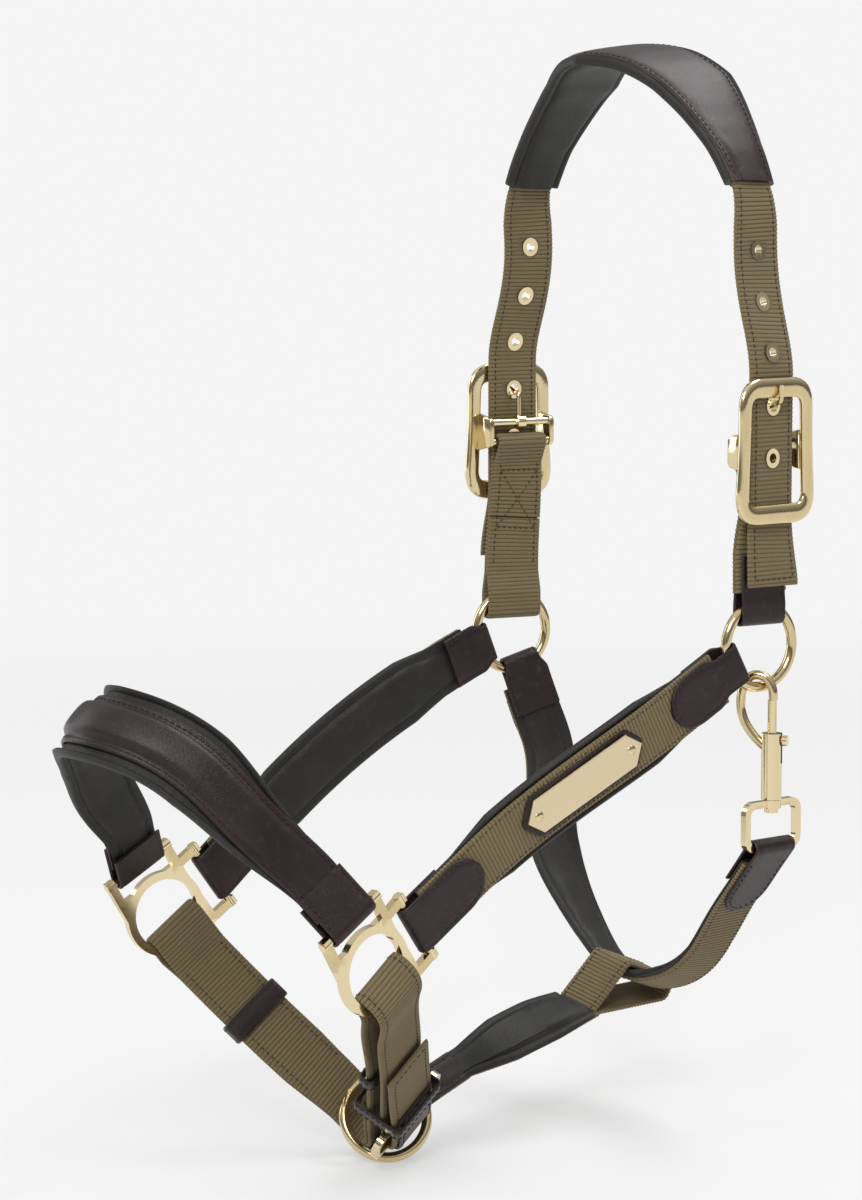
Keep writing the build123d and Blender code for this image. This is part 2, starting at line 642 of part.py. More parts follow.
# ------------------------------------------------------------------ jaw and throat
def jaw_strap():
    """Lined strap from the lead ring back to a loop round the throat strap."""
    radial = JAW_SIDE
    ahead = Vector(0, -94.5, -482.8)
    plane, inward = ring_fold_inputs(LEAD_RING, LEAD_NORMAL, radial, ahead, JAW_RING_WIDTH)
    if plane.y_dir.Z < 0:
        plane = Plane(origin=plane.origin, x_dir=plane.x_dir, z_dir=plane.z_dir * -1)
        inward = (inward[0], -inward[1])
    chape = fold(plane, JAW_RING_WIDTH, WIRE_RADIUS + CLEAR, LEATHER, inward, channel=CHANNEL, front=26,
                 back=32)
    write("jaw_chape", [chape])
    start = plane.origin + plane.x_dir * (FOLD_NECK - 2)
    straight = plane.origin + plane.x_dir * 33
    loop_front = Vector(0, -8, -463)
    run_on = Spline(straight, (0.2, -60, -473.5), loop_front)
    held = Line(start, straight)
    facing = [plane.y_dir, Vector(0.45, -0.23, 0.82), Vector(0.1, -0.2, 0.97)]
    still = [plane.y_dir, plane.y_dir]
    write("jaw_webbing", [ribbon(held, still, JAW_RING_WIDTH, -2.2, -0.2, 2),
                          ribbon(run_on, facing, [JAW_RING_WIDTH, 25, 27, 27], -2.2, -0.2, 8)])
    write("jaw_lining", [ribbon(held, still, JAW_RING_WIDTH, 0.0, 2.2, 2),
                         ribbon(run_on, facing, [JAW_RING_WIDTH, 27, 31, 31], 0.0, [2.2, 4.4, 4.4, 3.4], 8,
                                0, 0.93)])


def throat_strap():
    """Lined strap under the throat, from the snap's eye to the off cheek ring."""
    off_across, off_outward = turned(SIDES["off"]["turn"])
    centre = off(ring_centre(SIDES["off"]["ring_z"]))
    eye_bar = Vector(SNAP_X, SNAP_Y, EYE_TOP - EYE_HEIGHT + EYE_WIRE)
    near_end = fold_plane(eye_bar, Vector(0, -1, 0), (78, 20, -400))
    radial = off(off_across) * 0.3 + Vector(0, 0, -1)
    off_end, inward = ring_fold_inputs(centre, off(off_outward), radial, (-84, 20, -340), RING_LOOP)
    if off_end.y_dir.X > 0:
        off_end = Plane(origin=off_end.origin, x_dir=off_end.x_dir, z_dir=off_end.z_dir * -1)
        inward = (inward[0], -inward[1])
    write("throat_snap_chape", [fold(near_end, CHAPE_WIDTH, EYE_WIRE + 1, LEATHER, channel=CHANNEL,
                                     front=CHAPE_FRONT, back=CHAPE_BACK)])
    write("throat_off_chape", [fold(off_end, RING_LOOP, WIRE_RADIUS + CLEAR, LEATHER, inward, channel=CHANNEL,
                                    front=CHAPE_FRONT, back=CHAPE_BACK, legs=CHAPE_WIDTH)])
    ends = [plane.origin + plane.x_dir * reach
            for plane, reaches in ((near_end, (9, 25, 42)), (off_end, (42, 25, 9))) for reach in reaches]
    via = [Vector(40, 17, -445), THROAT_LOW, Vector(-38, 15, -430), Vector(-65, 18, -390)]
    path = Spline(*ends[:3], *via, *ends[3:], tangents=(near_end.x_dir, off_end.x_dir * -1))
    facings = [near_end.y_dir] * 3 + vectors([(0.62, -0.2, -0.76), (0.3, -0.32, -0.88), (-0.05, -0.36, -0.93),
                                              (-0.6, -0.25, -0.76), (-0.93, 0, -0.37)]) + [off_end.y_dir] * 3
    write("throat_webbing", [ribbon(path, facings, 27, 0.2, 2.2, 24)])
    lining_width = [27, 27, 28, 33, 34, 34, 34, 33, 28, 27, 27]
    low_face = [-2.2, -2.2, -2.2, -3.8, -4.2, -4.2, -4.2, -3.8, -2.2, -2.2, -2.2]
    write("throat_lining", [ribbon(path, facings, lining_width, low_face, 0.0, 24)])
    # the jaw strap's loop follows the throat strap through its lowest point
    low_point = 0.5
    step = 0.25
    while step > 0.0001:
        low_point += step if (path @ low_point).X > THROAT_LOW.X else -step
        step /= 2
    reach = LOOP_WIDTH / 2 / path.length
    first = low_point - reach
    last = low_point + reach
    wall = ribbon(path, facings, 41.0, -7.0, 5.0, 5, first, last)
    space = ribbon(path, facings, 36.6, -4.8, 2.8, 6, first - 0.02, last + 0.02)
    write("jaw_loop", [wall], cut=space)


# ------------------------------------------------------------------ snap hook
def snap():
    """Bolt snap on a swivel eye: hook and barrel, sprung bolt, spring, eye and rivet."""
    hook_way = Vector(*HOOK_WAY, 0)
    axis = Vector(SNAP_X, SNAP_Y, 0)
    hook_plane = Plane(origin=axis, x_dir=hook_way, z_dir=hook_way.cross(Vector(0, 0, 1)))
    with BuildPart() as hook:
        with BuildLine(hook_plane) as wire:
            Spline((-1.5, BARREL_TOP - 8), (-9.5, -321), (-15.5, -306), (-8.5, -292.2), (-4.0, -293.0),
                   (-1.0, -296.2), (0.3, -300.2), (0.4, BOLT_TOP + 0.4))
        with BuildSketch(Plane(origin=wire.line @ 0, z_dir=wire.line % 0)):
            Circle(HOOK_WIRE)
        sweep()
        with BuildSketch(Plane(origin=axis + Vector(0, 0, BARREL_LOW))):
            Circle(BARREL_RADIUS)
        extrude(amount=BARREL_TOP - BARREL_LOW)
        with BuildSketch(Plane(origin=axis + Vector(0, 0, BORE_FLOOR))):
            Circle(BOLT_RADIUS + 0.06)
        extrude(amount=BARREL_TOP - BORE_FLOOR + 12, mode=Mode.SUBTRACT)
        with BuildSketch(Plane(origin=axis + Vector(0, 0, BARREL_LOW - 1))):
            Circle(RIVET_RADIUS + 0.05)
        extrude(amount=3, mode=Mode.SUBTRACT)
        with BuildSketch(hook_plane):
            with Locations((BARREL_RADIUS, (KNOB + BARREL_TOP) / 2 - 2)):
                Rectangle(2 * BARREL_RADIUS, BARREL_TOP - KNOB + 18)
        extrude(amount=1.4, both=True, mode=Mode.SUBTRACT)
    write("snap_hook", [hook.part])
    with BuildPart() as bolt:
        with BuildSketch(Plane(origin=axis + Vector(0, 0, BOLT_LOW))):
            Circle(BOLT_RADIUS)
        extrude(amount=BOLT_TOP - BOLT_LOW)
        with BuildSketch(Plane(origin=axis + Vector(0, 0, KNOB), z_dir=hook_way)):
            Circle(1.3)
        extrude(amount=BARREL_RADIUS + 1.5)
        knob_base = axis + Vector(0, 0, KNOB) + hook_way * (BARREL_RADIUS + 0.5)
        with BuildSketch(Plane(origin=knob_base, z_dir=hook_way)):
            Circle(2.6)
        extrude(amount=2.2)
    write("snap_bolt", [bolt.part])
    with BuildPart() as spring:
        with BuildSketch(Plane(origin=axis + Vector(0, 0, BORE_FLOOR + 0.1))):
            Circle(BOLT_RADIUS - 0.1)
            Circle(BOLT_RADIUS - 0.7, mode=Mode.SUBTRACT)
        extrude(amount=BOLT_LOW - BORE_FLOOR - 0.2)
    write("snap_spring", [spring.part])
    eye_face = Plane(origin=axis, x_dir=(0, 1, 0), z_dir=(1, 0, 0))
    with BuildPart() as eye:
        with BuildSketch(eye_face):
            with Locations((0, EYE_TOP - EYE_HEIGHT / 2)):
                RectangleRounded(EYE_WIDTH, EYE_HEIGHT, 6)
                RectangleRounded(EYE_WIDTH - 4 * EYE_WIRE, EYE_HEIGHT - 4 * EYE_WIRE, 3.5, mode=Mode.SUBTRACT)
        extrude(amount=EYE_WIRE, both=True)
        with BuildSketch(Plane(origin=axis + Vector(0, 0, EYE_TOP - 4))):
            Circle(4.6)
        extrude(amount=4)
        with BuildSketch(Plane(origin=axis + Vector(0, 0, EYE_TOP - 8))):
            Circle(RIVET_RADIUS + 0.08)
        extrude(amount=10, mode=Mode.SUBTRACT)
    write("snap_eye", [eye.part])
    with BuildPart() as rivet:
        with BuildSketch(Plane(origin=axis + Vector(0, 0, EYE_TOP - 6.2))):
            Circle(3.4)
        extrude(amount=2)
        with BuildSketch(Plane(origin=axis + Vector(0, 0, EYE_TOP - 5))):
            Circle(RIVET_RADIUS)
        extrude(amount=7)
    write("snap_rivet", [rivet.part])


def run():
    poll_pad()
    for side, values in SIDES.items():
        crown_strap(side, values["turn"], values["off_side"])
        crown_buckle(side, values["off_side"])
        crown_tab(side, values["turn"], values["ring_z"], values["off_side"])
        _, outward = turned(values["turn"])
        write(f"{side}_cheek_ring", [torus_ring(ring_centre(values["ring_z"]), outward)], values["off_side"])
        bracket(side, values["off_side"])
        middle, facing = cheekpiece(side, values["turn"], values["ring_z"], values["cheek_drop"],
                                    values["off_side"])
        if side == "near":
            nameplate(middle, facing)
    noseband()
    off_chin()
    near_chin()
    jaw_strap()
    throat_strap()
    snap()
    write("lead_ring", [torus_ring(LEAD_RING, LEAD_NORMAL)])


run()
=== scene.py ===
"""Looks of the padded headcollar: webbing, leather, padding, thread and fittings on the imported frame.

Lengths below are millimetres in the CAD frame (+Z up, nose along -Y, near side +X); a mesh is
scaled to metres when it is made. A strap is a line of points with its outward directions, and
its surface is a cross-section carried along that line.
"""
import json
from math import ceil, cos, pi, radians, sin, sqrt

import bmesh
import bpy
import numpy as np
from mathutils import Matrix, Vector


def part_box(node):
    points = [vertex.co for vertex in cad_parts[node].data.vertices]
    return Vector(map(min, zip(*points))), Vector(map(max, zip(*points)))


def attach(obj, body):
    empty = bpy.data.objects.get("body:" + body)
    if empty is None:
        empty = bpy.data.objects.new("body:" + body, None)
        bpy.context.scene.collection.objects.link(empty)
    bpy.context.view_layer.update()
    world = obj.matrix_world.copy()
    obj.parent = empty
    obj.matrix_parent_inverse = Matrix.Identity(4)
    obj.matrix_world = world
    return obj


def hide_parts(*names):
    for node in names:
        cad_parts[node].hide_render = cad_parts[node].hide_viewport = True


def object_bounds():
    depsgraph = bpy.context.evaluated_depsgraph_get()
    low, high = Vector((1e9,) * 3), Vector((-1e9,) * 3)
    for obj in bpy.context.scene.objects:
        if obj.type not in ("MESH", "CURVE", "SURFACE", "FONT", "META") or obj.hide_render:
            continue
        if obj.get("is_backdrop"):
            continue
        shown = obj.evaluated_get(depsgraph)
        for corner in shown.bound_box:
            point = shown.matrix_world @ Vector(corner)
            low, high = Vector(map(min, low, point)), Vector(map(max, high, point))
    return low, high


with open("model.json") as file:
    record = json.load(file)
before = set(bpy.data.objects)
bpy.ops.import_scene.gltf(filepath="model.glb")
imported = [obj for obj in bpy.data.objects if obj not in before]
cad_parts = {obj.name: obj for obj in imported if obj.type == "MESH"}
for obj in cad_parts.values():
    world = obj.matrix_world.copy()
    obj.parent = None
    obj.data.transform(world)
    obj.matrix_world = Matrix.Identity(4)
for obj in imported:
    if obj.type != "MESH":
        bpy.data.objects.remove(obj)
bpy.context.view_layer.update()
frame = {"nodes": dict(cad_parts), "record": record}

MM = 0.001

BODY_OF = {node: body for body, nodes in frame["record"]["behaviour"]["bodies"].items() for node in nodes}

# ---- sizes shared with the CAD source
WEB_WIDTH = 30.0
WEB = 2.0
THIN_WEB = 1.9          # webbing drawn thinner where it lies doubled
LINED_WEB = 1.95        # and on a lining
LEATHER = 1.6
LAYER = 1.05            # middle of each layer of a doubled strap, from the strap's middle
CLEAR = 0.3
FOLD_NECK = 11.0
CHANNEL = 2.5
CHAPE_FRONT = 42.0
CHAPE_BACK = 24.0
CHAPE_WIDTH = 26.0
RING_LOOP = 20.0
RING_RADIUS = 20.0
WIRE_RADIUS = 2.5
STRAP_TURN = 4.0
STRAP_PLACE = 95.0, 16.0            # x and y of the crown strap where it passes its buckle
BUCKLE_LEVEL = -184.5
EYELET_CUT = 3.55
BAR_RADIUS = 2.0
BAR_DEPTH = 6.2
TAB_DEPTH = 4.0
TAB_BAR = -189.5
HOLE_PITCH = 25.0
HOLES = 5
LOW_HOLE = 40.0         # the lowest eyelet, below the start of the strap's straight part
BRACKET_TURN = 6.0
BRACKET_BAR = 2.2
BRACKET_THICK = 4.0
SLOT_REACH = 10.0
BEND_WIDTH = 26.0
KEEPER_HALF = 17.3
JAW_RING_WIDTH = 16.0
EYE_WIRE = 1.7
EYE_BAR = 97.9, 16.3, -376.8        # outer edge of the snap eye's bar
RIVET_RADIUS = 2.5

# ---- sizes of the surface detail
RIB_PITCH = 2.05
RIB_HEIGHT = 0.5
YARN_PITCH = 0.62
WEB_STEP = RIB_PITCH / 5
SOFT_STEP = 1.3
STITCH_PITCH = 3.1
STITCH_LENGTH = 2.35
STITCH_RADIUS = 0.3
WEB_SEAM = 3.4          # stitch rows, from a webbing strap's edges
LEATHER_SEAM = 2.2      # stitch row, from a leather edge
PAD_SEAM = 4.6          # stitch row, from a padded lining's edge
CHANNEL_LEVEL = 0.52    # how deep that row lies, as a share of the padding
WEB_EDGE = WEB_WIDTH / 2 - WEB_SEAM
PROUD = 0.02            # a stitch row's middle, above leather
LINED_FACE = 2.25       # stitch rows on webbing over a lining
DOUBLE_FACE = 2 * LAYER + 0.1       # stitch rows on doubled webbing, from the strap's middle
THIN_FACE = 1.15        # stitch rows on one layer of thin webbing


# ------------------------------------------------------------------ lines and frames
def vec(*parts):
    return np.array(parts, float)


def unit(v):
    v = np.asarray(v, float)
    return v / np.linalg.norm(v)


def flip(points):
    """The same points or directions on the off side."""
    return np.asarray(points, float) * (-1, 1, 1)


def turned(degrees):
    """Across (rearwards) and outward directions of a plane turned about the vertical."""
    angle = radians(degrees)
    return vec(-sin(angle), cos(angle), 0), vec(cos(angle), sin(angle), 0)


class Plane:
    """A drawing plane: origin, x and y in it, z its normal."""

    def __init__(self, origin, x, z):
        self.origin = np.asarray(origin, float)
        self.x = unit(x)
        self.z = unit(z)
        self.y = np.cross(self.z, self.x)

    def at(self, points):
        points = np.atleast_2d(points)
        return self.origin + points[:, :1] * self.x + points[:, 1:2] * self.y


def shares(points):
    """Distance along the points, from their start."""
    return np.concatenate([[0], np.cumsum(np.linalg.norm(np.diff(points, axis=0), axis=1))])


def sample(x, at, table):
    """A table's rows, read off at x; at says where each row holds."""
    return np.stack([np.interp(x, at, column) for column in table.T], axis=-1)


def spread(values, share):
    """Evenly spaced numbers or vectors, read off at shares from 0 to 1."""
    values = np.asarray(values, float)
    places = np.linspace(0, 1, len(values))
    return np.interp(share, places, values) if values.ndim == 1 else sample(share, places, values)


def circle(radius, count):
    turn = np.linspace(0, 2 * pi, count, endpoint=False)
    return np.column_stack([np.cos(turn), np.sin(turn)]) * radius


def spline(points, start=None, end=None, step=0.5):
    """Points on the smooth curve through the given ones, leaving and arriving in given directions."""
    p = np.asarray(points, float)
    h = np.linalg.norm(np.diff(p, axis=0), axis=1)
    chord = np.diff(p, axis=0) / h[:, None]
    size = len(p)
    matrix = np.zeros((size, size))
    right = np.zeros((size, p.shape[1]))
    matrix[0, 0] = matrix[-1, -1] = 1
    right[0] = unit(start) if start is not None else free_end(chord, h)
    right[-1] = unit(end) if end is not None else free_end(chord[::-1], h[::-1])
    for i in range(1, size - 1):
        matrix[i, i - 1:i + 2] = 1 / h[i - 1], 2 / h[i - 1] + 2 / h[i], 1 / h[i]
        right[i] = 3 * (chord[i - 1] / h[i - 1] + chord[i] / h[i])
    slope = np.linalg.solve(matrix, right)
    made = []
    for i, gap in enumerate(h):
        t = np.linspace(0, 1, max(3, ceil(gap / step)), endpoint=False)[:, None]
        made.append((2 * t**3 - 3 * t**2 + 1) * p[i] + (t**3 - 2 * t**2 + t) * gap * slope[i]
                    + (3 * t**2 - 2 * t**3) * p[i + 1] + (t**3 - t**2) * gap * slope[i + 1])
    return np.vstack([*made, p[-1:]])


def free_end(chord, h):
    """Direction at the end of a curve that nothing sets, from its first two chords."""
    if len(h) < 2:
        return chord[0]
    return chord[0] + (chord[0] - chord[1]) * h[0] / (h[0] + h[1])


def line(points, outward):
    """Points with an outward direction each, spread from fewer directions where needed."""
    points = np.asarray(points, float)
    outward = np.atleast_2d(np.asarray(outward, float))
    if len(outward) == 1:
        outward = np.repeat(outward, len(points), axis=0)
    if len(outward) != len(points):
        along = shares(points)
        outward = spread(outward, along / along[-1])
    return points, outward


def chain(*lines):
    """Several lines end to end."""
    return np.vstack([points for points, _ in lines]), np.vstack([outward for _, outward in lines])


def straight(a, b, outward):
    return line(np.linspace(a, b, max(2, ceil(np.linalg.norm(np.subtract(b, a))))), outward)


def mirrored(lines, off_side):
    """The line on the side where it belongs."""
    return (flip(lines[0]), flip(lines[1])) if off_side else lines


def reverse(lines):
    return lines[0][::-1], lines[1][::-1]


class Run:
    """A strap's middle line, with its across and outward directions at every half millimetre."""

    def __init__(self, lines, shift=None, closed=False):
        points, outward = lines
        at = shares(points)
        keep = np.concatenate([[True], np.diff(at) > 1e-4])
        at, points, outward = at[keep], points[keep], outward[keep]
        self.length = at[-1]
        self.closed = closed
        self.s = np.linspace(0, self.length, max(3, ceil(self.length / 0.5)))
        self.points = sample(self.s, at, points)
        facing = sample(self.s, at, outward)
        if closed:
            along = np.roll(self.points, -1, axis=0) - np.roll(self.points, 1, axis=0)
            along[0] = along[-1] = self.points[1] - self.points[-2]
        else:
            along = np.gradient(self.points, axis=0)
        along /= np.linalg.norm(along, axis=1)[:, None]
        across = np.cross(facing, along)
        self.across = across / np.linalg.norm(across, axis=1)[:, None]
        self.normal = np.cross(along, self.across)
        if shift is not None:
            self.points = self.points + np.outer(spread(shift, self.s / self.length), (0, 1, 0))

    def read(self, table, s):
        return sample(s, self.s, table)

    def place(self, s, v, w):
        """Where a point lies that is s along, v across and w outward."""
        return (self.read(self.points, s) + self.read(self.across, s) * np.asarray(v)[..., None]
                + self.read(self.normal, s) * np.asarray(w)[..., None])


# ------------------------------------------------------------------ folded ends
def convex_outline(cloud):
    """The points of a flat cloud that lie on its outline, anticlockwise."""
    cloud = sorted(map(tuple, cloud))
    halves = []
    for ordered in (cloud, cloud[::-1]):
        half = []
        for point in ordered:
            while len(half) > 1 and turn_of(half[-2], half[-1], point) <= 0:
                half.pop()
            half.append(point)
        halves += half[:-1]
    return np.array(halves)


def turn_of(a, b, c):
    return (b[0] - a[0]) * (c[1] - a[1]) - (b[1] - a[1]) * (c[0] - a[0])


def contour(plane, outline, count=None):
    """A flat outline as a line in a plane, facing to the right of its way."""
    if count:
        at = shares(outline)
        outline = sample(np.linspace(0, at[-1], count), at, outline)
    along = np.gradient(outline, axis=0)
    normal = np.column_stack([along[:, 1], -along[:, 0]])
    return plane.at(outline), normal[:, :1] * plane.x + normal[:, 1:] * plane.y


def fold_line(plane, radius, level, inward=(0, 0), neck=FOLD_NECK, centre=0.0, front=0.0, back=0.0):
    """The middle line of a layer that goes round metal, from its outer leg to its inner one."""
    bend = circle(radius, 180)
    legs = [(neck, centre + level), (neck, centre - level)]
    outline = convex_outline(np.vstack([bend, bend + inward, legs]))
    first = np.argmin(np.linalg.norm(outline - legs[0], axis=1))
    outline = np.roll(outline, -first, axis=0)
    last = np.argmin(np.linalg.norm(outline - legs[1], axis=1))
    outline = outline[:last + 1]
    if front > neck:
        outline = np.vstack([np.linspace((front, legs[0][1]), legs[0], 30)[:-1], outline])
    if back > neck:
        outline = np.vstack([outline, np.linspace(legs[1], (back, legs[1][1]), 30)[1:]])
    return contour(plane, outline, ceil(shares(outline)[-1] / 0.4))


def fold_plane(wire, width_dir, target):
    """Plane across a folded strap end: x runs along the strap, y faces outward."""
    along = np.subtract(target, wire)
    along = along - width_dir * along.dot(width_dir)
    return Plane(wire, along, width_dir)


def ring_fold(centre, outward, radial, target, width):
    """Plane of a fold on a round ring, and how far the ring's curve stretches its bore."""
    radial = unit(radial)
    plane = fold_plane(centre + radial * RING_RADIUS, np.cross(radial, outward), target)
    chord = sqrt((RING_RADIUS - WIRE_RADIUS) ** 2 - (width / 2) ** 2)
    depth = RING_RADIUS - (chord + WIRE_RADIUS)
    return plane, np.array((-depth * radial.dot(plane.x), -depth * radial.dot(plane.y)))


def turned_over(plane, inward, way):
    """A ring's fold, turned over if its y doesn't face along way."""
    if plane.y.dot(way) > 0:
        return plane, inward
    return Plane(plane.origin, plane.x, -plane.z), inward * (1, -1)


# ------------------------------------------------------------------ cross-sections
def rings(columns):
    """(v, w) columns of a closed outline as two arrays, a row for each place along the strap."""
    return tuple(np.stack([column[i] for column in columns], axis=1) for i in (0, 1))


def other_half(columns):
    """The same columns on the other side of the strap's middle, on the way back."""
    return [(-v, w) for v, w in reversed(columns)]


def webbing(width, thick=WEB, ends=(False, False)):
    """Ribbed webbing with scalloped edges."""
    across = (1, 0.972, 0.88, 0.45, 0, -0.45, -0.88, -0.972, -1, -0.972, -0.88, -0.45, 0, 0.45, 0.88, 0.972)
    height = (0, 0.78, 1, 1, 1, 1, 1, 0.78, 0, -0.78, -1, -1, -1, -1, -1, -0.78)

    def section(s):
        phase = (s / RIB_PITCH) % 1
        bump = np.sqrt(np.clip(1 - (2 * phase - 1) ** 2, 0, 1))
        for is_end, distance in ((ends[0], s - s[0]), (ends[1], s[-1] - s)):
            if is_end:
                bump = bump * np.clip(distance, 0, 1)
        half = read_width(width, s) / 2 - 0.12 + 0.26 * bump
        face = thick / 2 - 0.3 + RIB_HEIGHT * bump
        return np.outer(half, across), np.outer(face, height)
    return section


def stops(at, values):
    """A size that changes evenly between the places where it is given."""
    return lambda s: np.interp(s, at, values)


def read_width(width, s):
    """A width along a strap, from a function, a list of even stops or one number."""
    if callable(width):
        return width(s)
    if np.ndim(width):
        return np.interp(s, np.linspace(s[0], s[-1], len(width)), width)
    return np.full(len(s), float(width))


def leather(width, thick=LEATHER, seam=LEATHER_SEAM):
    """Leather with rounded edges and a row pressed in by its stitches."""
    insets = (0, 0.3, 0.9, seam - 0.7, seam, seam + 0.8, seam + 3.5)
    levels = (0, 0.62, 0.95, 1.0, 0.76, 1.0, 1.0)

    def section(s):
        half = read_width(width, s) / 2
        nominal = np.max(half)
        face = np.full(len(s), thick / 2)
        up = [(half * max(0.05, 1 - inset / nominal), face * level) for inset, level in zip(insets, levels)]
        bottom = [(v, -face * min(1, level + 0.05)) for (v, _), level in zip(up[1:], levels[1:])]
        low = [(-v, w) for v, w in bottom] + [(half * 0, -face)] + bottom[::-1]
        return rings(up + [(half * 0, face)] + other_half(up) + low)
    return section


def padding(width, low, cover, seam=PAD_SEAM, lip=1.25, top=0.0, seed=0.0):
    """A padded lining: rolled edges beside the strap it backs, a stitched channel, a soft crown."""
    def section(s):
        half = read_width(width, s) / 2
        deep = read_width(low, s)
        room = np.clip((half - read_width(cover, s) / 2) / 3.5, 0, 1)
        rise = top + lip * room
        wave = 0.22 * np.sin(s / 5.3 + seed) + 0.16 * np.sin(s / 2.9 + 2 * seed)
        steady = np.full(len(s), top)
        edge = steady - 0.9
        upper = [(half, edge), (half - 0.45, (rise + edge) / 2 + 0.35), (half - 1.4, rise),
                 (half - 2.5, rise * 0.8 + top * 0.2), (half - 3.3, steady), (half * 0.45, steady)]
        lower = [(half * 0.3, deep + wave * 0.7), (half * 0.55, deep * 0.94 + wave),
                 (half - seam - 1.8, deep * 0.82 + wave), (half - seam - 0.6, deep * 0.66),
                 (half - seam, deep * CHANNEL_LEVEL), (half - seam + 0.7, deep * 0.62),
                 (half - 1.6, deep * 0.62), (half - 0.5, deep * 0.45)]
        return rings(upper + [(half * 0, steady)] + other_half(upper)
                     + other_half(lower) + [(half * 0, deep + wave * 0.5)] + lower)
    return section


def raised_band(width, high, low=0.6):
    """Leather cover moulded over a core: flat stitched borders and a high middle."""
    def section(s):
        half = read_width(width, s) / 2
        top = read_width(high, s)
        border = np.minimum(low + 1.8, top)
        steps = ((0, 0.35), (0.3, 0.75), (1.0, 1.0), (2.2, 1.0), (2.9, 0.9))
        up = [(half - inset, low + (border - low) * level) for inset, level in steps]
        for share, rise in ((0.69, 0.06), (0.63, 0.4), (0.55, 0.72), (0.42, 0.9), (0.22, 0.98)):
            up.append((half * share, border + (top - border) * rise))
        top_side = up + [(half * 0, top)] + other_half(up)
        flat = np.full(len(s), low)
        under = [(-(half - 0.4), flat), (-half * 0.5, flat), (half * 0, flat), (half * 0.5, flat), (half - 0.4, flat)]
        return rings(top_side + under)
    return section


def tongue_width(width, neck_width, neck_at):
    """Width of a chape along its run: rounded where the run starts, narrower at the metal."""
    def at(s):
        share = np.clip(s / (width * 0.62), 0, 1)
        whole = width * np.sqrt(np.clip(1 - (1 - share) ** 2.3, 0.02, 1))
        if neck_width:
            near = np.clip((np.abs(s - neck_at) - 11) / 8, 0, 1)
            near = near * near * (3 - 2 * near)
            whole = np.minimum(whole, neck_width + (width - neck_width) * near)
        return whole
    return at


# ------------------------------------------------------------------ meshes
def mesh_object(name, points, faces, strap=None, sharp=48):
    """A mesh in metres with outward normals; strap holds each point's place on its strap."""
    mesh = bpy.data.meshes.new(name)
    mesh.from_pydata((np.asarray(points) * MM).tolist(), [], faces)
    if strap is not None:
        attribute = mesh.attributes.new("strap", "FLOAT_VECTOR", "POINT")
        attribute.data.foreach_set("vector", (np.asarray(strap) * MM).astype(np.float32).ravel())
    shape = bmesh.new()
    shape.from_mesh(mesh)
    bmesh.ops.recalc_face_normals(shape, faces=shape.faces)
    shape.to_mesh(mesh)
    shape.free()
    mesh.shade_smooth()
    mesh.set_sharp_from_angle(angle=radians(sharp))
    made = bpy.data.objects.new(name, mesh)
    bpy.context.scene.collection.objects.link(made)
    return made


def sweep(name, run, section, start=0.0, end=None, step=SOFT_STEP, sharp=48):
    """Carries a cross-section along a run; a closed run makes an endless band."""
    end = run.length if end is None else end
    count = max(3, ceil((end - start) / step))
    s = np.linspace(start, end, count, endpoint=not run.closed)
    v, w = section(s)
    around = v.shape[1]
    points = run.place(np.repeat(s[:, None], around, axis=1), v, w)
    strap = np.stack([np.repeat(s[:, None], around, axis=1), v, w], axis=-1)
    index = np.arange(count * around).reshape(count, around)
    if run.closed:
        index = np.vstack([index, index[:1]])
    a, b = index[:-1], index[1:]
    quads = np.stack([a, np.roll(a, -1, axis=1), np.roll(b, -1, axis=1), b], axis=-1).reshape(-1, 4).tolist()
    if not run.closed:
        quads += [index[0].tolist(), index[-1].tolist()]
    return mesh_object(name, points.reshape(-1, 3), quads, strap.reshape(-1, 3), sharp)


def loops_mesh(loops, around=False):
    """Points and faces of a stack of equal closed loops; around joins the last to the first."""
    count, total = len(loops[0]), sum(map(len, loops))
    faces = []
    for j in range(len(loops) - (0 if around else 1)):
        for k in range(count):
            a, b = j * count + k, j * count + (k + 1) % count
            faces.append((a, b, (b + count) % total, (a + count) % total))
    if not around:
        faces += [tuple(range(count)), tuple(range(total - count, total))]
    return np.vstack(loops), faces


def gather(shapes):
    """Several meshes as one."""
    points, faces, base = [], [], 0
    for more_points, more_faces in shapes:
        points.append(more_points)
        faces += [tuple(base + i for i in face) for face in more_faces]
        base += len(more_points)
    return np.vstack(points), faces


def thread(run, seams, node, stuff, name=None):
    """One mesh of sewn stitches along seams; each seam is a list of (s, v, w) on the strap."""
    along_share = np.array((0, 0.16, 0.5, 0.84, 1))
    radius = STITCH_RADIUS * np.array((0.3, 0.85, 1, 0.85, 0.3))
    dip = np.array((-0.32, -0.05, 0.06, -0.05, -0.32))
    flat_share, up_share = (circle(1, 5) * (1.15, 1)).T
    stitches = []
    for seam in seams:
        at = shares(run.place(*seam.T))
        count = max(1, int(at[-1] / STITCH_PITCH))
        gap = at[-1] / count
        for i in range(count):
            where = (i + 0.5) * gap - STITCH_LENGTH / 2 + along_share * STITCH_LENGTH
            s, v, w = sample(where, at, seam).T
            side = np.sign(w[2]) or 1.0
            middle = run.place(s, v, w + dip * side)
            way = np.gradient(middle, axis=0)
            way /= np.linalg.norm(way, axis=1)[:, None]
            flat = np.cross(run.read(run.normal, s) * side, way)
            flat /= np.linalg.norm(flat, axis=1)[:, None]
            up = np.cross(way, flat)
            ring = flat[:, None] * flat_share[:, None] + up[:, None] * up_share[:, None]
            stitches.append(loops_mesh(middle[:, None] + ring * radius[:, None, None]))
    made = mesh_object(name or f"{node}_thread", *gather(stitches), sharp=80)
    made.data.materials.append(THREAD[stuff])
    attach(made, BODY_OF[node])


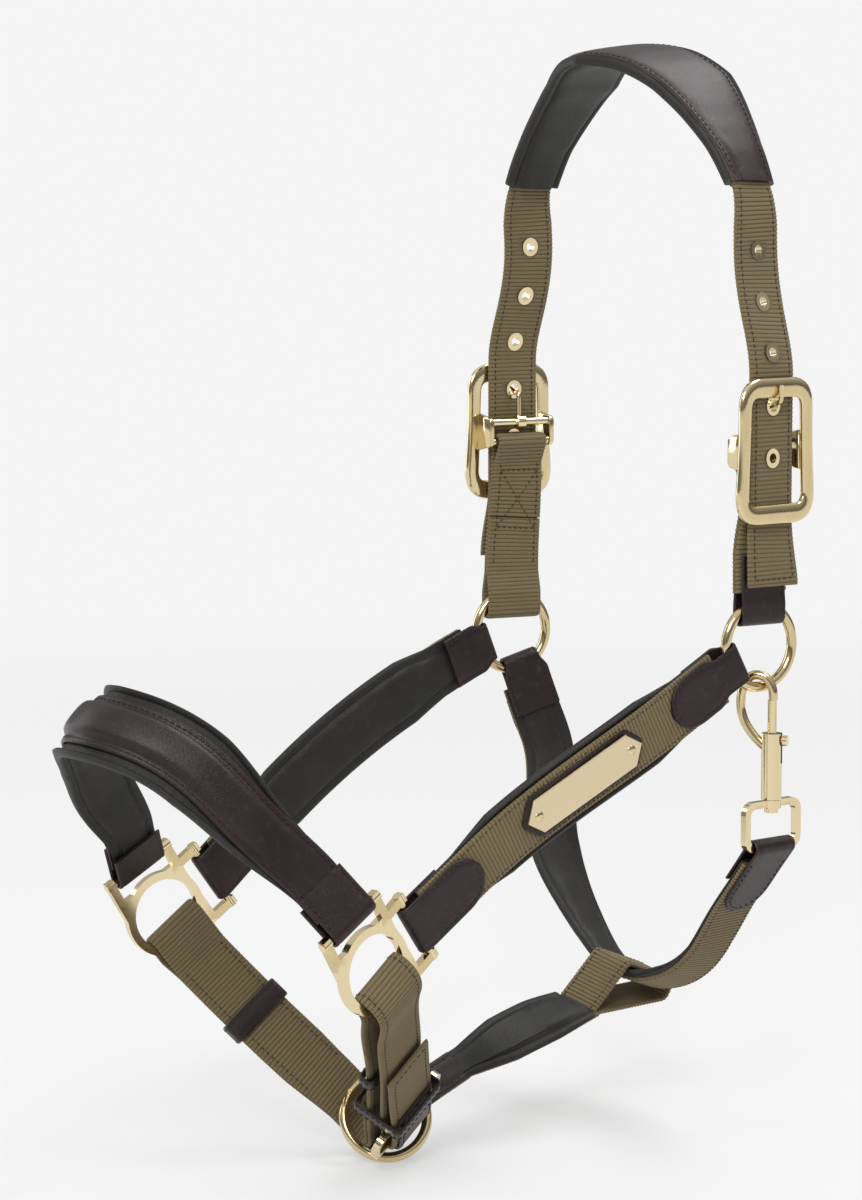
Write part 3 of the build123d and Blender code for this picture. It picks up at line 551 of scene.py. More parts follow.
def row(start, end, v, w, step=2.0):
    """A pair of seams along the strap, v either side of its middle."""
    s = np.linspace(start, end, max(2, ceil(abs(end - start) / step)))
    v = np.broadcast_to(v(s) if callable(v) else v, s.shape)
    w = np.broadcast_to(w(s) if callable(w) else w, s.shape)
    return [np.column_stack([s, v * sign, w]) for sign in (-1, 1)]


def cross_row(s, half, w):
    """A seam straight across the strap."""
    return np.column_stack([np.full(12, s), np.linspace(-half, half, 12), np.full(12, w)])


def both_faces(seams):
    """The seams on a strap's outer face, and the same on its inner one."""
    return [seam * (1, 1, side) for side in (1, -1) for seam in seams]


def tongue_seam(width_at, start, w):
    """A U-shaped seam that stays inside the rounded end where the run starts."""
    s = np.linspace(start, 0, 80)
    outline = np.column_stack([s, width_at(s) / 2])
    tangent = np.gradient(outline, axis=0)
    tangent /= np.linalg.norm(tangent, axis=1)[:, None]
    inner = outline - LEATHER_SEAM * np.column_stack([tangent[:, 1], -tangent[:, 0]])
    inner = inner[inner[:, 1] > 0.3]
    both = np.vstack([inner, (inner * (1, -1))[::-1]])
    return np.column_stack([both, np.full(len(both), w)])


def settle(made, node, stuff, *more):
    """Gives a piece its material and body, and hides the CAD nodes it stands for."""
    made.data.materials.append(MATERIAL[stuff])
    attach(made, BODY_OF[node])
    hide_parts(node, *more)
    return made


def strap(name, node, stuff, run, section, *span, step=None, more=(), fill=None):
    """A strap's layer of one stuff in place of its CAD node; fill is not used."""
    step = step or (WEB_STEP if stuff == "webbing" else SOFT_STEP)
    made = settle(sweep(name, run, section, *span, step=step), node, stuff, *more)


# ------------------------------------------------------------------ materials
class Nodes:
    """Short ways to add shader nodes; a value is a number, a colour, a vector or another node's output."""

    def __init__(self, owner, shader="Principled BSDF"):
        owner.use_nodes = True
        self.owner = owner
        self.tree = owner.node_tree
        self.shader = self.tree.nodes[shader]

    def feed(self, socket, value):
        if isinstance(value, bpy.types.NodeSocket):
            self.tree.links.new(value, socket)
        else:
            socket.default_value = (*value, 1) if socket.type == "RGBA" else value

    def add(self, kind, *values, **settings):
        """A node with its settings and named inputs, and values for its first inputs."""
        node = self.tree.nodes.new("ShaderNode" + kind)
        for key, value in settings.items():
            if hasattr(node, key):
                setattr(node, key, value)
            else:
                self.feed(node.inputs[key], value)
        for socket, value in zip(node.inputs, values):
            self.feed(socket, value)
        return node

    def math(self, operation, *values):
        return self.add("Math", *values, operation=operation).outputs[0]

    def times(self, a, b):
        return self.math("MULTIPLY", a, b)

    def plus(self, a, b):
        return self.math("ADD", a, b)

    def ramp(self, source, low, high):
        return self.add("MapRange", source, low, high).outputs[0]

    def mix(self, share, dark, light):
        node = self.add("Mix", data_type="RGBA")
        for index, value in zip((0, 6, 7), (share, dark, light)):
            self.feed(node.inputs[index], value)
        return node.outputs[2]

    def place(self):
        return self.add("TexCoord").outputs["Object"]

    def noise(self, scale, detail, where=None):
        return self.add("TexNoise", Vector=where or self.place(), Scale=scale, Detail=detail).outputs["Fac"]

    def strap(self):
        """Distances along, across and outward on the strap, in metres."""
        place = self.add("Attribute", attribute_name="strap").outputs["Vector"]
        return self.add("SeparateXYZ", place).outputs

    def edges(self, low, high):
        return self.ramp(self.add("NewGeometry").outputs["Pointiness"], low, high)

    def bump(self, height, distance, strength):
        return self.add("Bump", Height=height, Distance=distance, Strength=strength).outputs[0]

    def set(self, **values):
        for key, value in values.items():
            self.feed(self.shader.inputs[key.replace("_", " ")], value)
        return self.owner


def material(name):
    return Nodes(bpy.data.materials.new(name))


def webbing_material():
    n = material("olive_webbing")
    along, across, _ = n.strap()
    phase = n.math("FRACT", n.math("DIVIDE", along, RIB_PITCH * MM))
    from_middle = n.math("ABSOLUTE", n.math("SUBTRACT", phase, 0.5))
    crest = n.ramp(from_middle, 0.5, 0.27)
    yarn = n.math("SINE", n.times(across, 2 * pi / (YARN_PITCH * MM)))
    cloud = n.noise(55, 3)
    fibre = n.noise(2600, 2)
    shade = n.mix(cloud, (0.150, 0.110, 0.048), (0.215, 0.163, 0.076))
    # painted shade: the colour goes to a near-black brown in the valleys between the ribs, where shade falls
    shade = n.mix(n.ramp(crest, 0.05, 0.9), (0.036, 0.025, 0.011), shade)
    shade = n.mix(n.times(n.ramp(yarn, -1, 1), 0.20), shade, (0.085, 0.060, 0.026))
    shade = n.mix(n.times(n.ramp(fibre, 0.35, 0.75), 0.3), shade, (0.33, 0.265, 0.145))
    height = n.plus(n.times(yarn, 0.35), n.times(fibre, 0.8))
    n.set(Base_Color=shade, Roughness=n.ramp(cloud, -1.2, 1.1), Normal=n.bump(height, 0.00012, 0.8))
    return n.set(Sheen_Weight=0.12, Sheen_Roughness=0.5, Specular_IOR_Level=0.3)


def leather_material(name, dark, light, worn, roughness, grain=1500, coat=0.0, depth=0.00010):
    n = material(name)
    wobble = n.add("TexNoise", Vector=n.place(), Scale=grain * 0.7).outputs["Color"]
    wobble = n.add("VectorMath", wobble, operation="SCALE", Scale=0.0006).outputs[0]
    where = n.add("VectorMath", n.place(), wobble, operation="ADD").outputs[0]
    cells = n.add("TexVoronoi", feature="DISTANCE_TO_EDGE", Vector=where, Scale=grain)
    pores = n.ramp(cells.outputs["Distance"], 0.0, 0.22)
    cloud = n.noise(38, 5)
    crease = n.noise(210, 6)
    shade = n.mix(n.ramp(cloud, 0.3, 0.72), dark, light)
    shade = n.mix(n.times(n.ramp(crease, 0.58, 0.8), 0.45), shade, worn)
    shade = n.mix(n.times(n.edges(0.53, 0.62), 0.35), shade, worn)
    height = n.plus(n.times(pores, 0.6), n.times(crease, 1.6))
    rough = n.plus(n.times(cloud, 0.16), roughness - 0.08)
    n.set(Base_Color=shade, Roughness=rough, Normal=n.bump(height, depth, 0.7))
    return n.set(Coat_Weight=coat, Coat_Roughness=0.3, Specular_IOR_Level=0.3)


def thread_material(name, dark, light):
    n = material(name)
    twist = n.add("TexWave", wave_type="BANDS", bands_direction="DIAGONAL", Vector=n.place(), Scale=900)
    cloud = n.noise(400, 2)
    n.set(Base_Color=n.mix(cloud, dark, light), Roughness=n.ramp(cloud, -1, 1.6))
    return n.set(Normal=n.bump(twist.outputs["Fac"], 0.00008, 0.6), Specular_IOR_Level=0.35)


def metal_material(name, dark, light, roughness, marks=0.5):
    n = material(name)
    cloud = n.noise(60, 3)
    stretched = n.add("Mapping", Vector=n.place(), Scale=(1, 1, 9)).outputs[0]
    scratch = n.noise(420, 6, stretched)
    shade = n.mix(n.plus(n.times(cloud, 0.5), n.edges(0.5, 0.6)), dark, light)
    rough = n.plus(n.times(n.ramp(scratch, 0.45, 0.8), marks * 0.14), roughness)
    return n.set(Base_Color=shade, Roughness=rough, Metallic=1.0, Normal=n.bump(scratch, 0.00002, marks * 0.35))


WEBBING = webbing_material()
HIDE = leather_material("brown_leather", (0.0145, 0.0070, 0.0075), (0.028, 0.0142, 0.0150),
                        (0.075, 0.044, 0.041), 0.34, coat=0.08)
SOFT = leather_material("charcoal_lining", (0.0125, 0.0118, 0.0105), (0.024, 0.0225, 0.0195),
                        (0.05, 0.047, 0.04), 0.47, grain=1100, depth=0.00013)
WEB_THREAD = thread_material("webbing_thread", (0.030, 0.021, 0.010), (0.060, 0.043, 0.020))
HIDE_THREAD = thread_material("leather_thread", (0.012, 0.007, 0.008), (0.034, 0.021, 0.022))
SOFT_THREAD = thread_material("lining_thread", (0.010, 0.009, 0.008), (0.032, 0.029, 0.025))
GOLD = metal_material("pale_gold", (0.62, 0.48, 0.25), (0.80, 0.67, 0.42), 0.12)
GOLD_PLATE = metal_material("brushed_gold_plate", (0.68, 0.54, 0.32), (0.80, 0.67, 0.44), 0.30, marks=1.0)
MATERIAL = {"webbing": WEBBING, "leather": HIDE, "lining": SOFT, "brass": GOLD, "small_brass": GOLD}
THREAD = {"webbing": WEB_THREAD, "leather": HIDE_THREAD, "lining": SOFT_THREAD}


# ------------------------------------------------------------------ poll pad and crown straps
ARCH_HALF = [(80, -58), (72, -43.5), (60, -28), (40, -8.5), (20, 2.5), (0, 5)]
PAD_Y = 15.5
ARCH_POINTS = [(x, PAD_Y, z) for x, z in ARCH_HALF] + [(-x, PAD_Y, z) for x, z in reversed(ARCH_HALF[:-1])]
PAD_FACING = [(1, 0.07, 0.3), (0.8, -0.1, 0.7), (0, -0.13, 1), (-0.8, -0.1, 0.7), (-1, 0.07, 0.3)]
PAD_SHIFT = [0, -0.5, -0.5, -1, -8, -15.5, -8, -1, -0.5, -0.5, 0]
COVER_WIDTH = [28, 31, 37, 44, 46, 46, 46, 44, 37, 31, 28]
LINING_WIDTH = [33, 36, 43, 51, 53, 53, 53, 51, 43, 36, 33]
ARCH = line(spline(ARCH_POINTS, (-0.45, 0, 0.9), (-0.45, 0, -0.9)), PAD_FACING)
TUCKED = 24             # points of the arch that the strap end follows inside the pad


def poll_pad():
    """Padded leather top of the crown, deepest in its middle."""
    run = Run(ARCH, shift=PAD_SHIFT)
    strap("poll_pad_soft_lining", "poll_pad_lining", "lining", run, poll_lining_section,
          -1.5, run.length + 1.5, more=["poll_pad_core"], fill=0.7)
    strap("poll_pad_top_cover", "poll_pad_cover", "leather", run, poll_cover_section, fill=0.6)
    top = 2.75
    seams = row(3, run.length - 3, inside(COVER_WIDTH, run.length, 2.6), top)
    seams += [cross_row(s, 11, top) for s in (3, run.length - 3)]
    thread(run, seams, "poll_pad_cover", "leather")
    under = row(2, run.length - 2, inside(LINING_WIDTH, run.length, PAD_SEAM), -2.35)
    thread(run, under, "poll_pad_lining", "lining")


def read_share(values, s, length):
    return spread(values, np.clip(np.asarray(s) / length, 0, 1))


def inside(widths, length, inset):
    """Distance from the strap's middle to a seam that follows its edge."""
    return lambda s: read_share(widths, s, length) / 2 - inset


def poll_lining_section(s):
    width, cover = (read_share(widths, s, Run(ARCH).length) for widths in (LINING_WIDTH, COVER_WIDTH))
    return padding(lambda _: width, -5.0, lambda _: cover, lip=1.5, top=0.3, seed=1.3)(s)


def poll_cover_section(s):
    """Cover drawn down at its edges over the core."""
    half = read_share(COVER_WIDTH, s, Run(ARCH).length) / 2
    wave = 0.10 * np.sin(s / 6.1) + 0.07 * np.sin(s / 2.3 + 1)
    steps = ((0, 1.0), (0.35, 1.75), (1.0, 2.3), (1.9, 2.65), (2.6, 2.5), (3.4, 2.85), (5.5, 3.25))
    up = [(half - inset, np.full(len(s), level)) for inset, level in steps]
    up += [(half * 0.6, 3.55 + wave), (half * 0.3, 3.75 + wave)]
    low = np.full(len(s), 0.75)
    under = [(v, low) for v in (0.8 - half, -half * 0.5, half * 0, half * 0.5, half - 0.8)]
    return rings(up + [(half * 0, 3.8 + wave)] + other_half(up) + under)


def billet(side, turn, off_side):
    """Punched strap end: out of the pad, straight through the buckle, then its tail."""
    _, outward = turned(STRAP_TURN)
    _, ring_outward = turned(turn)
    hang = vec(*STRAP_PLACE, -148)
    low = vec(*STRAP_PLACE, -216)
    tucked = reverse((ARCH[0][:TUCKED], ARCH[1][:TUCKED]))
    upper = spline([(80, PAD_Y, -58), (83, 16.5, -90), (89, 16.5, -122), hang], ARCH[0][0] - ARCH[0][1], (0, 0, -1))
    tail = [low, low + outward * 2.7 + (0, -1, -24), low + outward * 3.4 + (0, -1, -33)]
    whole = chain(tucked, line(upper, [(1, 0.07, 0.3), outward]), straight(hang, low, outward),
                  line(spline(tail, (0, 0, -1), (0, 0, -1)), [outward, (outward + ring_outward) / 2, ring_outward]))
    run = Run(mirrored(whole, off_side))
    start = shares(tucked[0])[-1]
    made = sweep(f"{side}_billet_webbing", run,
                 webbing(stops((0, start + 3, start + 20), (24, 26, 30)), ends=(False, True)), step=WEB_STEP)
    # the eyelets are one pitch apart, and the buckle's tongue is in the fourth from the top
    lowest = start + shares(upper)[-1] + LOW_HOLE
    cut_round(made, run, [lowest - i * HOLE_PITCH for i in range(HOLES)], EYELET_CUT)
    settle(made, f"{side}_billet", "webbing")
    face = WEB / 2 + 0.2
    last = run.length - 3.5
    seams = row(start + 2, last, stops((start, start + 20), (WEB_EDGE - 2, WEB_EDGE)), face)
    thread(run, both_faces([*seams, cross_row(last, WEB_EDGE, face)]), f"{side}_billet", "webbing")


def cut_round(made, run, places, radius):
    """Cuts round holes through a strap, under its eyelets."""
    along, across = circle(radius, 28).T
    drills = [loops_mesh([run.place(s + along, across, np.full(28, w)) for w in (-4, 4)]) for s in places]
    cutter = mesh_object("hole_cutter", *gather(drills))
    modifier = made.modifiers.new("holes", "BOOLEAN")
    modifier.operation = "DIFFERENCE"
    modifier.solver = "EXACT"
    modifier.object = cutter
    graph = bpy.context.evaluated_depsgraph_get()
    mesh = bpy.data.meshes.new_from_object(made.evaluated_get(graph))
    made.modifiers.clear()
    made.data = mesh
    bpy.data.objects.remove(cutter)


# ------------------------------------------------------------------ buckle tabs
def doubled(spine, top, bottom=None):
    """One webbing strip that makes both layers of a strap, folded at its top and maybe its bottom."""
    points, outward = spine
    normal = outward / np.linalg.norm(outward, axis=1)[:, None]
    outer = points + normal * LAYER, normal
    inner = points - normal * LAYER, -normal
    if bottom is None:
        return chain(reverse(outer), top, inner)
    keep = len(points) // 2
    return chain((inner[0][keep:0:-1], inner[1][keep:0:-1]), reverse(top), outer, bottom,
                 (inner[0][:keep:-1], inner[1][:keep:-1]))


def ring_at(side):
    """Middle of a cheek ring, before the off side is mirrored."""
    return vec(91.7, 13.0, -288.0 if side == "off" else -278.0)


def tab(side, turn, off_side):
    """Doubled webbing from the buckle's lower bar down to the cheek ring."""
    across, outward = turned(STRAP_TURN)
    _, ring_outward = turned(turn)
    bar = vec(*STRAP_PLACE, TAB_BAR) - outward * BAR_DEPTH
    stack = BAR_DEPTH - TAB_DEPTH
    top = fold_line(Plane(bar, (0, 0, -1), -across), BAR_RADIUS + CLEAR + WEB / 2, LAYER, centre=stack)
    start = bar + outward * stack + (0, 0, -FOLD_NECK)
    plane, inward = ring_fold(ring_at(side), ring_outward, (0, 0, 1), start, WEB_WIDTH if off_side else CHAPE_WIDTH)
    if off_side:
        bottom = fold_line(plane, WIRE_RADIUS + CLEAR + WEB / 2, LAYER, inward)
        spine = line(spline([start, plane.origin + plane.x * FOLD_NECK], (0, 0, -1), -plane.x), [outward, plane.y])
    else:
        bottom = None
        held = plane.origin + plane.x * 25
        spine = chain(line(spline([start, held], (0, 0, -1), -plane.x), [outward, outward, plane.y]),
                      straight(held, plane.origin + plane.x * 6, plane.y))
    run = Run(mirrored(doubled(spine, top, bottom), off_side))
    strap(f"{side}_tab_webbing", f"{side}_tab", "webbing", run, webbing(WEB_WIDTH, THIN_WEB))
    seam_run = Run(mirrored(spine, off_side))
    length = seam_run.length
    first, last = 4.0, min(34.0, length - 8)
    seams = row(0, length - (4 if off_side else 27), WEB_EDGE, DOUBLE_FACE)
    if off_side:
        seams += [cross_row(s, WEB_EDGE, DOUBLE_FACE) for s in (first, last)]
        diagonal = np.linspace((first, -WEB_EDGE, DOUBLE_FACE), (last, WEB_EDGE, DOUBLE_FACE), 20)
        seams += [diagonal * (1, way, 1) for way in (-1, 1)]
    thread(seam_run, both_faces(seams), f"{side}_tab", "webbing")
    if not off_side:
        chape(f"{side}_tab_chape", plane, CHAPE_WIDTH, WIRE_RADIUS + CLEAR, inward, 24, 18, channel=2.3, neck=5,
              squared=True)


def chape(node, plane, width, bore, inward=(0, 0), front=CHAPE_FRONT, back=CHAPE_BACK, channel=CHANNEL,
          neck=FOLD_NECK, loop_width=None, off_side=False, squared=False):
    """A leather strap end folded round metal, with a rounded, stitched outer leg."""
    whole = fold_line(plane, bore + LEATHER / 2, channel + LEATHER / 2, inward, neck, 0.0, front, back)
    run = Run(mirrored(whole, off_side))
    ends = width if squared else tongue_width(width, loop_width, front + bore + 0.5)
    strap(f"{node}_leather", node, "leather", run, leather(ends))
    top = LEATHER / 2 + PROUD
    if squared:
        seams = row(3, front - 3, width / 2 - LEATHER_SEAM, top)
    else:
        seams = [tongue_seam(ends, front - 7, top)]
        seams += row(run.length - max(6, back - 9), run.length - 2.5, width / 2 - LEATHER_SEAM - 0.3, top)
    thread(run, seams, node, "leather")


# ------------------------------------------------------------------ cheekpieces
BRACKET = Plane((81.5, -213.8, -406.7), turned(BRACKET_TURN)[0], turned(BRACKET_TURN)[1])


def bracket_bar(which):
    """Middle of a bracket slot's bar, and its width direction."""
    if which == "nose":
        outward, lengthwise, edge, middle = vec(-0.507, 0.862), vec(0.862, 0.507), 18.4, 0.0
    else:
        outward, lengthwise, edge, middle = vec(0.81, 0.586), vec(0.586, -0.81), 20.2, 2.2
    local = outward * (edge + SLOT_REACH) + lengthwise * middle
    return BRACKET.at(local)[0], BRACKET.x * lengthwise[0] + BRACKET.y * lengthwise[1]


def lined_path(first, last, reach, via=(), facings=()):
    """Two straight ends under the chapes with a smooth run between them."""
    a = first.origin + first.x * (FOLD_NECK - 2)
    b = first.origin + first.x * reach
    c = last.origin + last.x * reach
    d = last.origin + last.x * (FOLD_NECK - 2)
    middle = spline([b, *via, c], first.x, -last.x)
    return chain(straight(a, b, first.y), line(middle, [first.y, *facings, last.y]), straight(c, d, last.y))


def cheekpiece(side, turn, drop, off_side):
    """Lined strap from the cheek ring to the bracket; drop sets where it leaves the ring."""
    across, outward = turned(turn)
    bar, bar_width = bracket_bar("cheek")
    top_plane, inward = ring_fold(ring_at(side), outward, -across + (0, 0, -drop), bar, RING_LOOP)
    low_plane = fold_plane(bar, bar_width, top_plane.origin)
    chape(f"{side}_cheek_upper_chape", top_plane, CHAPE_WIDTH, WIRE_RADIUS + CLEAR, inward, loop_width=RING_LOOP,
          off_side=off_side)
    chape(f"{side}_cheek_lower_chape", low_plane, CHAPE_WIDTH, BRACKET_BAR + CLEAR, off_side=off_side)
    run = Run(mirrored(lined_path(top_plane, low_plane, CHAPE_FRONT), off_side))
    lined_strap(f"{side}_cheek", run, (27, 27.5, 34, 34, 34, 34, 34, 27.5, 27),
                (-2.2, -2.2, -4.4, -4.4, -4.4, -4.4, -4.4, -2.2, -2.2), 0.4)


def lined_strap(name, run, lining_width, low, seed):
    """Webbing on a padded lining, with their rows of stitches."""
    width = 27
    strap(f"{name}_webbing_ribbed", f"{name}_webbing", "webbing", run, shifted(webbing(width, LINED_WEB), 1.2))
    strap(f"{name}_lining_padded", f"{name}_lining", "lining", run, padding(lining_width, low, width, seed=seed),
          fill=0.6)
    thread(run, row(2, run.length - 2, width / 2 - 2, LINED_FACE), f"{name}_webbing", "webbing")
    seams = row(22, run.length - 22, inside(lining_width, run.length, PAD_SEAM),
                lambda s: channel_level(read_share(low, s, run.length)))
    thread(run, seams, f"{name}_lining", "lining")


def channel_level(low):
    """Where the stitches of a padded lining's channel lie."""
    return low * CHANNEL_LEVEL - 0.05


def shifted(section, by, over=1):
    """The same cross-section lifted outward, and turned over where over is -1."""
    def moved(s):
        v, w = section(s)
        return v, w * over + by
    return moved


def node_points(name):
    """The points of a CAD node's mesh."""
    return np.array([v.co for v in frame["nodes"][name].data.vertices]) / MM


def nameplate_backing():
    """Leather under the nameplate, bevelled all round."""
    low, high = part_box("nameplate_backing")
    source = node_points("nameplate_backing")
    centre = (np.array(low) + np.array(high)) / 2 / MM
    rising = source @ vec(0, 1, 0.47)
    along = unit(source[np.argmax(rising)] - source[np.argmin(rising)])
    normal = unit(np.cross(along, np.cross(vec(1, 0, 0), along)))
    if normal[0] < 0:
        normal = -normal
    base = ((source - centre) @ normal).min()
    half, tall, tip = 40.0, 10.5, 8.0
    side = half - tip
    outline = rounded([(half, 0), (side, tall), (-side, tall), (-half, 0), (-side, -tall), (side, -tall)], 2.5)
    plane = Plane(centre, along, normal)
    steps = ((0.25, 0.0), (0.0, 0.3), (0.0, 0.85), (0.35, 1.15), (0.9, 1.28), (1.9, 1.28), (2.5, 1.2), (3.0, 1.25))
    loops = [plane.at(outline * (1 - inset / half, 1 - inset / tall)) + normal * (base + level)
             for inset, level in steps]
    settle(mesh_object("nameplate_backing_leather", *loops_mesh(loops)), "nameplate_backing", "leather")


def rounded(corners, radius, parts=6):
    """A closed outline with each corner rounded off, by one radius or by one for each corner."""
    corners = np.asarray(corners, float)
    radii = np.broadcast_to(radius, len(corners))
    made = []
    for i, (corner, radius) in enumerate(zip(corners, radii)):
        before = corners[i - 1]
        after = corners[(i + 1) % len(corners)]
        a = corner + unit(before - corner) * radius
        b = corner + unit(after - corner) * radius
        for t in np.linspace(0, 1, parts):
            made.append((1 - t) ** 2 * a + 2 * t * (1 - t) * corner + t**2 * b)
    return np.array(made)


# ------------------------------------------------------------------ noseband
def noseband():
    """Raised leather band over a padded lining, between the two brackets."""
    bar, bar_width = bracket_bar("nose")
    plane = fold_plane(bar, bar_width, (70, -245.5, -363))
    reach = 22.0
    for side in ("near", "off"):
        chape(f"{side}_nose_chape", plane, 28, BRACKET_BAR + CLEAR, front=reach, back=reach - 4, neck=9,
              off_side=side == "off", squared=True)
    off_plane = Plane(flip(plane.origin), flip(plane.x), np.cross(flip(plane.x), flip(plane.y)))
    near_via = [vec(60, -262, -340), vec(42, -282, -313), vec(21, -299, -299)]
    via = near_via + [vec(0, -306, -295.5)] + [flip(point) for point in reversed(near_via)]
    facings = [(0.75, -0.4, 0.45), (0, -0.72, 0.69), (-0.75, -0.4, 0.45)]
    run = Run(lined_path(plane, off_plane, reach, via, facings))
    ease = (0, 12, 24, 85, run.length - 85, run.length - 24, run.length - 12, run.length)

    def eased(*values):
        """Values that hold at the stops of ease as far as the middle, and back again."""
        return stops(ease, values + values[::-1])

    lining_width = eased(26, 26, 28, 40)
    low = eased(-2.2, -2.2, -2.4, -5)
    high = eased(2.2, 2.2, 2.6, 6.2)
    strap("noseband_lining_padded", "noseband_lining", "lining", run,
          padding(lining_width, low, 28, lip=2.6, seed=0.9), fill=0.75)
    strap("noseband_cover_raised", "noseband_cover", "leather", run, raised_band(27, high), fill=0.8)
    seams = row(13, run.length - 13, 11.0, lambda s: np.minimum(2.4, high(s)) - 0.03, 1.5)
    thread(run, seams, "noseband_cover", "leather")
    seams = row(24, run.length - 24, lambda s: lining_width(s) / 2 - PAD_SEAM, lambda s: channel_level(low(s)))
    thread(run, seams, "noseband_lining", "lining")


# ------------------------------------------------------------------ chin straps
LEAD_RING = vec(0, -143, -502)
LEAD_NORMAL = unit(vec(0.756, -0.42, 0.4975))
CHIN_ACROSS = unit(vec(-0.032, 0.784, 0.614))
NEAR_LEG = vec(0.651, -0.45, 0.609)
LEAD_SIDE = unit(vec(-0.648, -0.48, 0.579))
CHIN = Plane(LEAD_RING + LEAD_SIDE * RING_RADIUS, NEAR_LEG, CHIN_ACROSS)


def chin_line(points):
    """A smooth line in the chin's section plane, facing to the left of its way."""
    made, right = contour(CHIN, spline(points, step=0.4))
    return made, -right


def off_chin():
    """Doubled strap from the off bracket's round opening, bending behind the lead ring."""
    across, outward = turned(BRACKET_TURN)
    radial = flip(across) * 0.596 + vec(0, 0, -0.803)
    opening, bore_curve = 18.9, 9.3
    bar = flip(BRACKET.origin) + radial * opening
    behind = CHIN.at((-7, -12))[0]
    top = fold_plane(bar, np.cross(flip(outward), radial), behind)
    inward = np.array((-bore_curve * radial.dot(top.x), -bore_curve * radial.dot(top.y)))
    upper = fold_line(top, BRACKET_THICK / 2 + 1.5 + WEB / 2, LAYER, inward)
    start = top.origin + top.x * FOLD_NECK
    behind_way = CHIN.x * -0.27 + CHIN.y * 0.963
    below = np.cross(behind_way, CHIN_ACROSS)
    if below.dot(top.y) < 0:
        below = -below
    leg = line(spline([start, behind], top.x, behind_way), [top.y, below])
    bend = chin_line([(-6.9, -12.3), (-11.5, -1), (-17, 10), (-16, 17.5), (-8, 19), (2, 17.8), (12, 17), (23, 16.2),
                      (34, 15.4)])
    if np.dot(bend[1][0], leg[1][-1]) < 0:
        bend = bend[0], -bend[1]
    spine = chain(leg, (bend[0][3:], bend[1][3:]))
    run = Run(doubled(spine, upper))
    held = Run(leg)
    bend_from = shares(bend[0])[-1]
    strap("off_chin_webbing", "off_chin_strap", "webbing", run, webbing(
        lambda s: np.interp(np.minimum(s, run.length - s), (bend_from - 12, bend_from + 18), (BEND_WIDTH, WEB_WIDTH)),
        THIN_WEB))
    seams = both_faces(row(0, held.length - 6, WEB_EDGE, DOUBLE_FACE))
    thread(Run(spine), seams, "off_chin_strap", "webbing", "off_chin_thread")
    keeper("off_chin_keeper", strap_plane(held, 0.42), 4.6, 11)


def strap_plane(run, share):
    """Plane across a strap at a share of its length: x across it, y outward."""
    at = run.length * share
    across = run.read(run.across, at)
    return Plane(run.read(run.points, at), across, np.cross(across, run.read(run.normal, at)))


def closed_run(plane, corners, radius, count):
    """A run round a closed outline with rounded corners."""
    outline = rounded(corners, radius, 7)
    return Run(contour(plane, np.vstack([outline, outline[:1]]), count), closed=True)


def keeper(node, plane, half_tall, width):
    """A leather loop round a strap, with a row of stitches at each edge."""
    x, y = KEEPER_HALF - LEATHER / 2, half_tall - LEATHER / 2
    run = closed_run(plane, [(x, y), (-x, y), (-x, -y), (x, -y)], min(2.2, y), 220)
    seam = 1.7
    strap(f"{node}_leather", node, "leather", run, leather(width, seam=seam), step=0.9)
    thread(run, row(1, run.length - 1, width / 2 - seam, LEATHER / 2 + PROUD, 1.0), node, "leather")


def near_chin():
    """Near strap over its bracket and turned up at the ring, with its leather guard and two keepers."""
    inner = [(10, 20.3), (40, 18.1), (80, 14.6), (112, 10.7), (122, 9.7)]
    over = [(130.5, 5.3), (137.3, 6.4), (136.7, 14.2), (128.2, 20.2)]
    outer = [(112, 20.4), (80, 23.0), (50, 25.2), (24, 27.0), (10, 27.6)]
    turn_up = [(6.2, 27.8), (4.3, 30.6), (6.2, 33.6), (9.5, 34.2), (24, 33.6), (45, 31.0), (73, 28.0)]
    run = Run(chin_line(inner + over + outer + turn_up))
    strap("near_chin_webbing", "near_chin_strap", "webbing", run, webbing(WEB_WIDTH, 1.85, ends=(False, True)))
    last = run.length - 3
    seams = both_faces([*row(4, last, WEB_EDGE, THIN_FACE), cross_row(last, WEB_EDGE, THIN_FACE)])
    thread(run, seams, "near_chin_strap", "webbing", "near_chin_webbing_thread")

    guard = [(34, 34.8), (23.5, 35.8), (9, 36.4), (2.6, 34.6), (0.4, 29.5), (-4, 24.6), (-14, 23),
             (-20.4, 18), (-20.8, 10), (-15.8, 0), (-12.1, -8), (-10.4, -14)]
    wrap = Run(contour(CHIN, spline(guard, step=0.4)))
    strap("near_chin_chape_leather", "near_chin_chape", "leather", wrap, leather(BEND_WIDTH - 1, 1.5))
    side = np.sign((wrap.normal[len(wrap.normal) // 3]).dot(CHIN.y)) or 1.0
    seams = row(3, wrap.length - 3, BEND_WIDTH / 2 - 0.5 - LEATHER_SEAM, side * (LEATHER / 2))
    thread(wrap, seams, "near_chin_chape", "leather")
    for node, x, low, high in (("near_chin_keeper_lower", 30, 12.4, 36.8),
                               ("near_chin_keeper_upper", 62, 13.9, 18.7)):
        plane = Plane(CHIN.at((x, (low + high) / 2))[0], CHIN_ACROSS, CHIN.x)
        keeper(node, plane, (high - low + 3.4) / 2, 9)


# ------------------------------------------------------------------ jaw and throat
JAW_END = vec(0, -8, -463)
JAW_FORK = vec(0, -21, -466.3)      # where the jaw strap's webbing parts round the throat strap


